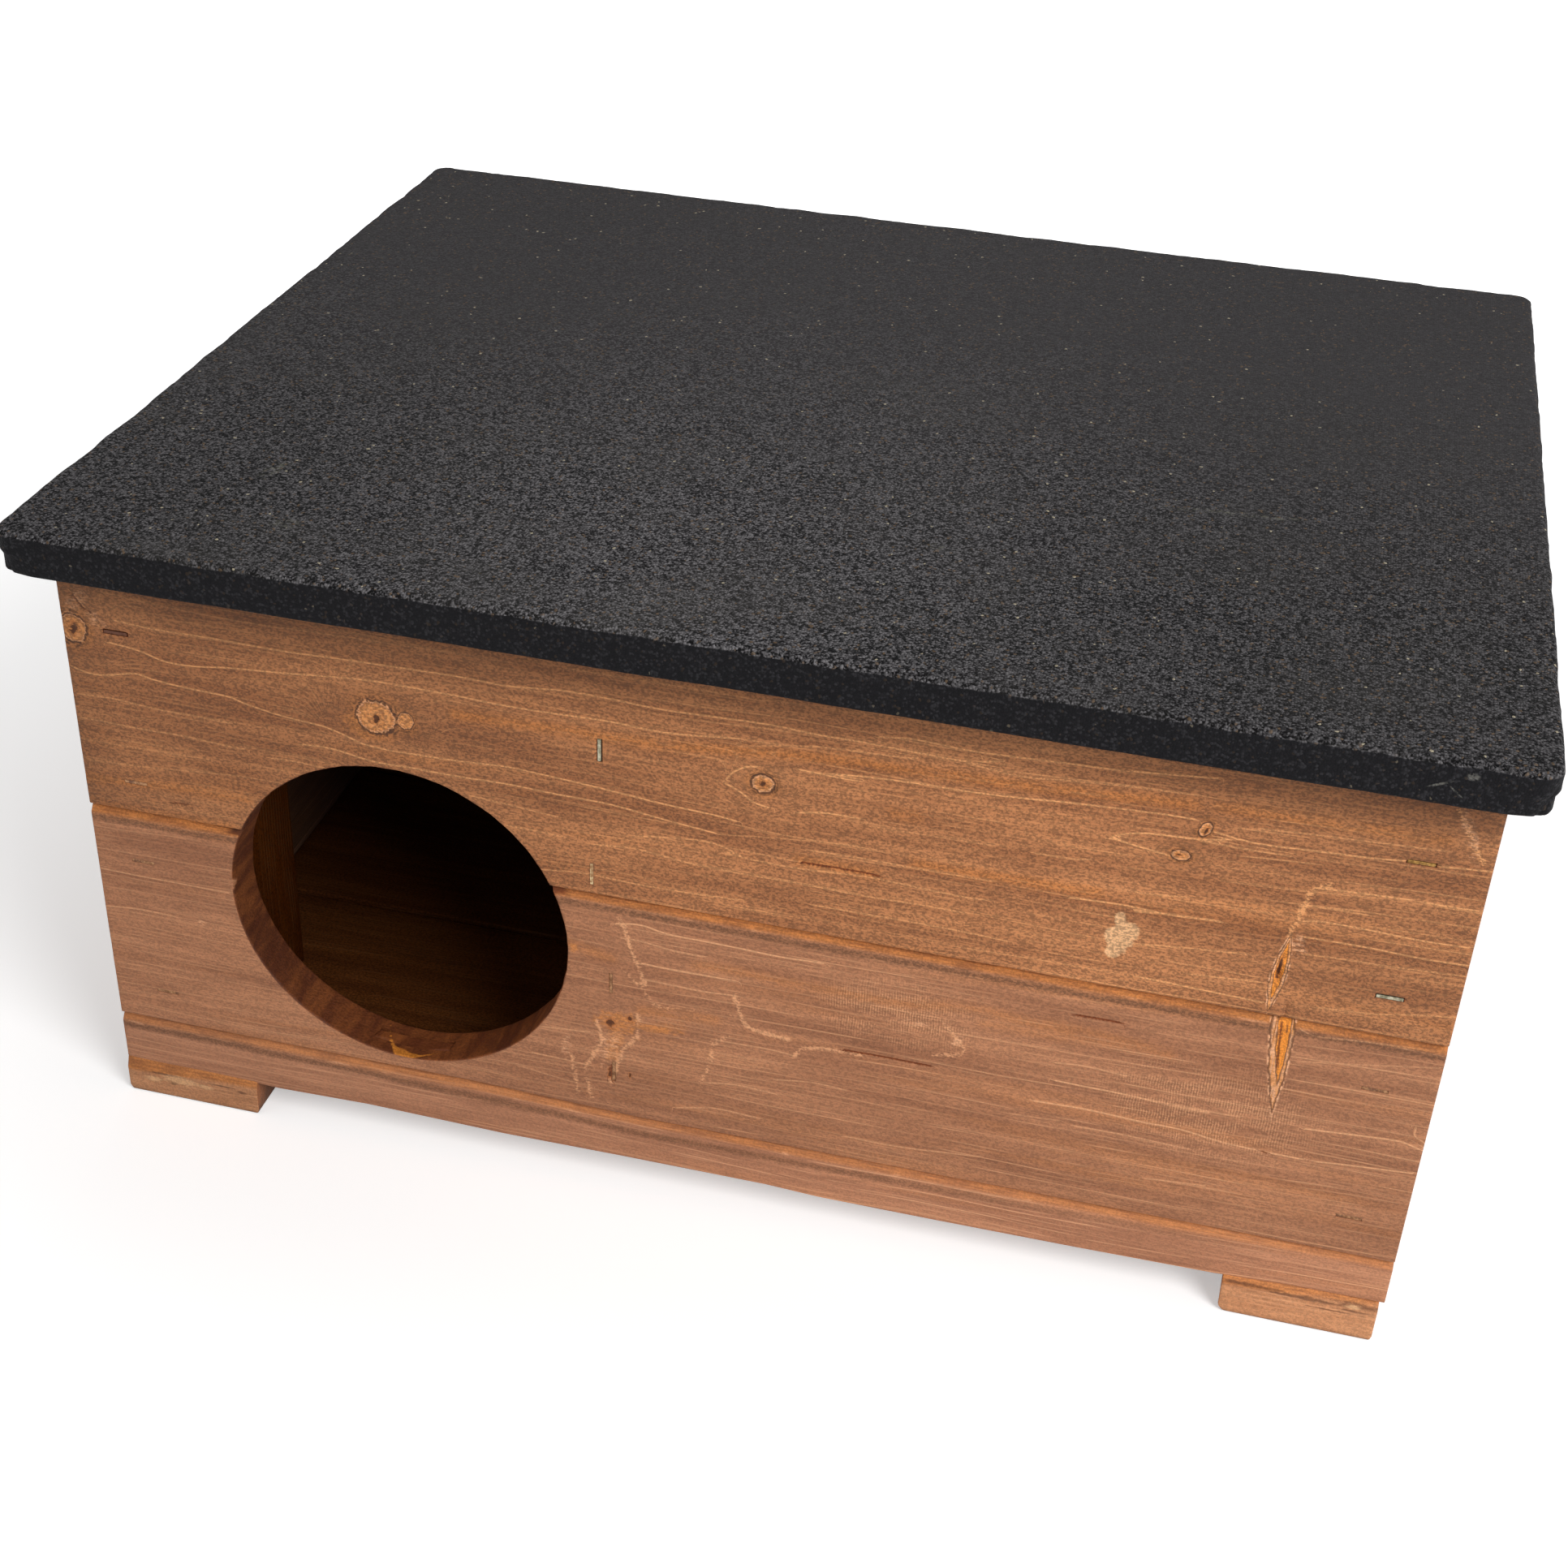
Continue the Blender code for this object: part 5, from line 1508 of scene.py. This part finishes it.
def felt_haze(n, place):
    """Dust between the granules, more of it towards the back."""
    cloud = n.noise(place, (90.0, 60.0, 40.0), 3.0)
    return n.band(n.parts(place)[1] + (cloud - 0.5) * 120.0, -140.0, 110.0)


def felt_end_shade(n, place, side):
    """A grey that paints shade towards the roof's ends, more at the right one, but not down its sides."""
    x = n.parts(place)[0]
    end_shade = n.band(x, -20.0, 190.0) * 0.34 + n.band(x, -60.0, -200.0) * 0.22
    return n.grey(0.94 - end_shade * (1.0 - side))


def felt_material():
    """Mineral felt: charcoal granules with a few pale and brown ones, dusty on top and darker down the sides,
    partly worn and partly painted shade."""
    n = Look("roofing_felt")
    place = n.millimetres()
    side = n.attribute("side")
    distance, shades = n.cells(place, 0.9)
    value, other, _ = n.parts(shades, "SeparateColor")
    grit = n.band(n.noise(place, (0.8, 0.8, 0.8), 2.0, 0.6), 0.3, 0.7)
    n.colour = n.mix(n.band(value * 0.55 + grit * 0.45, 0.26, 0.84), (4, 4, 5), (131, 128, 130))
    dust = n.noise(place, (70.0, 50.0, 30.0), 4.0, 0.6)
    n.paint(n.band(dust, 0.42, 0.72) * 0.3, (88, 85, 82))
    gap = n.band(distance, 0.3, 0.7)
    n.paint(gap * 0.5, (18, 18, 20))
    # painted shade towards the roof's ends
    n.paint(1.0, felt_end_shade(n, place, side), "MULTIPLY")
    n.paint(felt_haze(n, place) * 0.78, (61, 59, 60))
    # the sides are darker: partly worn granules, partly painted shade where light falls less on them
    ragged = side + (n.noise(place, (9.0, 9.0, 3.0), 3.0) - 0.5) * 0.8
    bare = n.band(ragged, 0.3, 0.6)
    worn_and_shaded = n.mix(n.noise(place, (2.4, 2.4, 1.6), 4.0, 0.7), (8, 8, 10), (27, 26, 29))
    worn_and_shaded = n.mix(n.band(value, 0.6, 1.0) * 0.6, worn_and_shaded, (56, 55, 58))
    n.paint(bare, n.mix(gap * 0.4, worn_and_shaded, (9, 9, 11)))
    on_top = 1.0 - bare * 0.8
    n.paint(n.band(other, 0.965, 0.975) * (on_top * 0.6), (112, 92, 72))
    n.paint(n.band(other, 0.9982, 0.9987) * on_top, (170, 160, 138))
    scuffed = n.band(nearest_of(n, flat(n, place), FELT_SCUFFS), 1.2, 0.2)
    scuffed = scuffed * n.band(n.noise(place, (2.5, 2.5, 2.5), 4.0, 0.7), 0.45, 0.7)
    n.paint(scuffed * 0.55, (140, 138, 124))
    scratched = n.band(nearest_of(n, place, FELT_SCRATCHES), 1.1, 0.5)
    scratched = scratched * n.band(n.noise(place, (1.6, 1.6, 1.6), 3.0, 0.7), 0.4, 0.6)
    n.paint(scratched * (bare * 0.6), (122, 120, 114))
    # painted shade in the folded corners' creases
    n.paint(n.attribute("crease") * 0.8, (5, 5, 6))
    height = (1.0 - distance) * (1.0 - bare * 0.5)
    n.bump(height + n.noise(place, (0.7, 0.7, 0.7), 2.0) * 0.5, 0.55, 0.95)
    return n.finish(n.colour, 0.96 - bare * 0.16, Specular_IOR_Level=0.12)


PLY_THICKNESS = 2.4


def plywood_material():
    n = Look("plywood")
    place = n.millimetres()
    grain = n.noise(place, (60.0, 3.0, 1.0), 4.0)
    n.colour = n.mix(n.band(grain, 0.3, 0.7), (176, 138, 98), (206, 172, 130))
    layer = n.band(n.math("SINE", n.parts(place)[2] * (math.pi / PLY_THICKNESS)), -0.2, 0.2)
    n.paint(layer * 0.35, (126, 88, 56))
    n.bump(grain, 0.15, 0.6)
    return n.finish(n.colour, 0.6 + grain * 0.2)


RUST = (92, 48, 24)
# The metals: bright, dull and rusty screen colours, how much rust there is, and the roughness
METALS = {
    "staple_bright": ((184, 178, 156), (118, 112, 90), RUST, 0.0, 0.34),
    "staple_brassy": ((170, 132, 74), (116, 84, 44), RUST, 0.1, 0.45),
    "staple_rusty": ((88, 52, 26), (50, 27, 12), RUST, 0.3, 0.5),
    "staple_filled": ((212, 190, 150), (160, 124, 88), RUST, 0.05, 0.6),
    "staple_dull": ((176, 134, 98), (124, 86, 60), RUST, 0.12, 0.5),
    "zinc": ((200, 202, 206), (174, 177, 182), (120, 90, 60), 0.0, 0.32),
}


def metal_material(name, bright, dull, rust, rusted, roughness):
    """Plated steel with blotches, and some rust in spots."""
    n = Look(name)
    place = n.millimetres()
    cloud = n.noise(place, (1.6, 1.6, 1.6), 4.0, 0.6)
    n.colour = n.mix(n.band(cloud, 0.35, 0.65), bright, dull)
    spots = n.band(n.noise(place, (2.6, 2.6, 2.6), 5.0, 0.7), 0.66 - rusted, 0.72 - rusted)
    n.paint(spots * 0.8, rust)
    scratches = n.noise(place, (4.0, 0.3, 0.3), 2.0)
    n.bump(cloud + scratches * 0.6, 0.05, 0.8)
    return n.finish(n.colour, roughness + cloud * 0.3, Metallic=0.9 - spots * 0.8)


def finish_kept_nodes(metals):
    """The nodes whose shape is right keep it and get a better material."""
    plywood = plywood_material()
    for name, node in NODES.items():
        if name in FRONT_STAPLES:
            material = metals[STAPLE_LOOKS.get(name, "staple_dull")]
        elif "hinge" in name:
            material = metals["zinc"]
        elif name == "roof_deck":
            material = plywood
        else:
            continue
        node.data.materials.clear()
        node.data.materials.append(material)


WHITE = (1.0, 1.0, 1.0, 1.0)
FLOOR_GREY = (0.86, 0.86, 0.86, 1.0)
# What the world and the floor give as light, beside 1 where they are seen directly
WORLD_LIGHT, FLOOR_LIFT = 0.24, 0.4
FLOOR_HALF = 6.0
# The studio's lamps: where they stand, their size and their power. All of them face AIM.
LAMPS = {
    "key": ((1.15, -1.1, 1.2), 1.0, 26.0),
    "fill": ((-1.3, -0.8, 0.9), 1.4, 3.2),
    "top": ((0.1, 0.5, 1.7), 1.2, 5.0),
}
AIM = Vector((0, 0, 0.12))


def seen_directly(n):
    """1 for rays from the camera, and for those that a glossy or clear surface sends on."""
    rays = [n.node("LightPath", {}, f"Is {kind} Ray") for kind in ("Camera", "Glossy", "Transmission")]
    return n.math("MAXIMUM", n.math("MAXIMUM", rays[0], rays[1]), rays[2])


def make_world():
    world = bpy.data.worlds.new("studio")
    bpy.context.scene.world = world
    world.use_nodes = True
    background = world.node_tree.nodes["Background"].inputs
    background["Color"].default_value = WHITE
    n = Nodes(world.node_tree)
    n.put(background["Strength"], seen_directly(n) * (1.0 - WORLD_LIGHT) + WORLD_LIGHT)


def make_floor():
    mesh = bpy.data.meshes.new("studio_floor")
    corners = [(x * FLOOR_HALF, y * FLOOR_HALF, 0) for x, y in ((-1, -1), (1, -1), (1, 1), (-1, 1))]
    mesh.from_pydata(corners, [], [range(4)])
    floor = linked("studio_floor", mesh)
    floor.location.z = -0.0002
    n = Look("studio_floor")
    away = n.vector("LENGTH", n.node("TexCoord", {}, "Object"), output="Value")
    lift = FLOOR_LIFT + n.band(away, 0.3, 1.1) * (1 - FLOOR_LIFT)
    mesh.materials.append(n.finish(FLOOR_GREY, 0.9, Emission_Color=WHITE,
                                   Emission_Strength=seen_directly(n) * lift))


def make_lamps():
    for name, (place, size, power) in LAMPS.items():
        data = bpy.data.lights.new(name, "AREA")
        data.shape, data.size, data.energy = "DISK", size, power
        lamp = linked(name, data)
        lamp.location = place
        lamp.rotation_euler = (AIM - Vector(place)).to_track_quat("-Z", "Y").to_euler()


def main():
    camera()
    make_world()
    make_floor()
    make_lamps()
    bpy.context.scene.view_settings.view_transform = "Standard"
    draws = np.random.default_rng(41)
    metals = {name: metal_material(name, *look) for name, look in METALS.items()}
    make_front()
    for side, seed in (("back", 10), ("left", 20), ("right", 30)):
        make_wall(side, draws, seed, metals["staple_dull"])
    make_feet()
    make_inside()
    make_felt(felt_material())
    felt_staples(metals["staple_bright"])
    finish_kept_nodes(metals)


main()
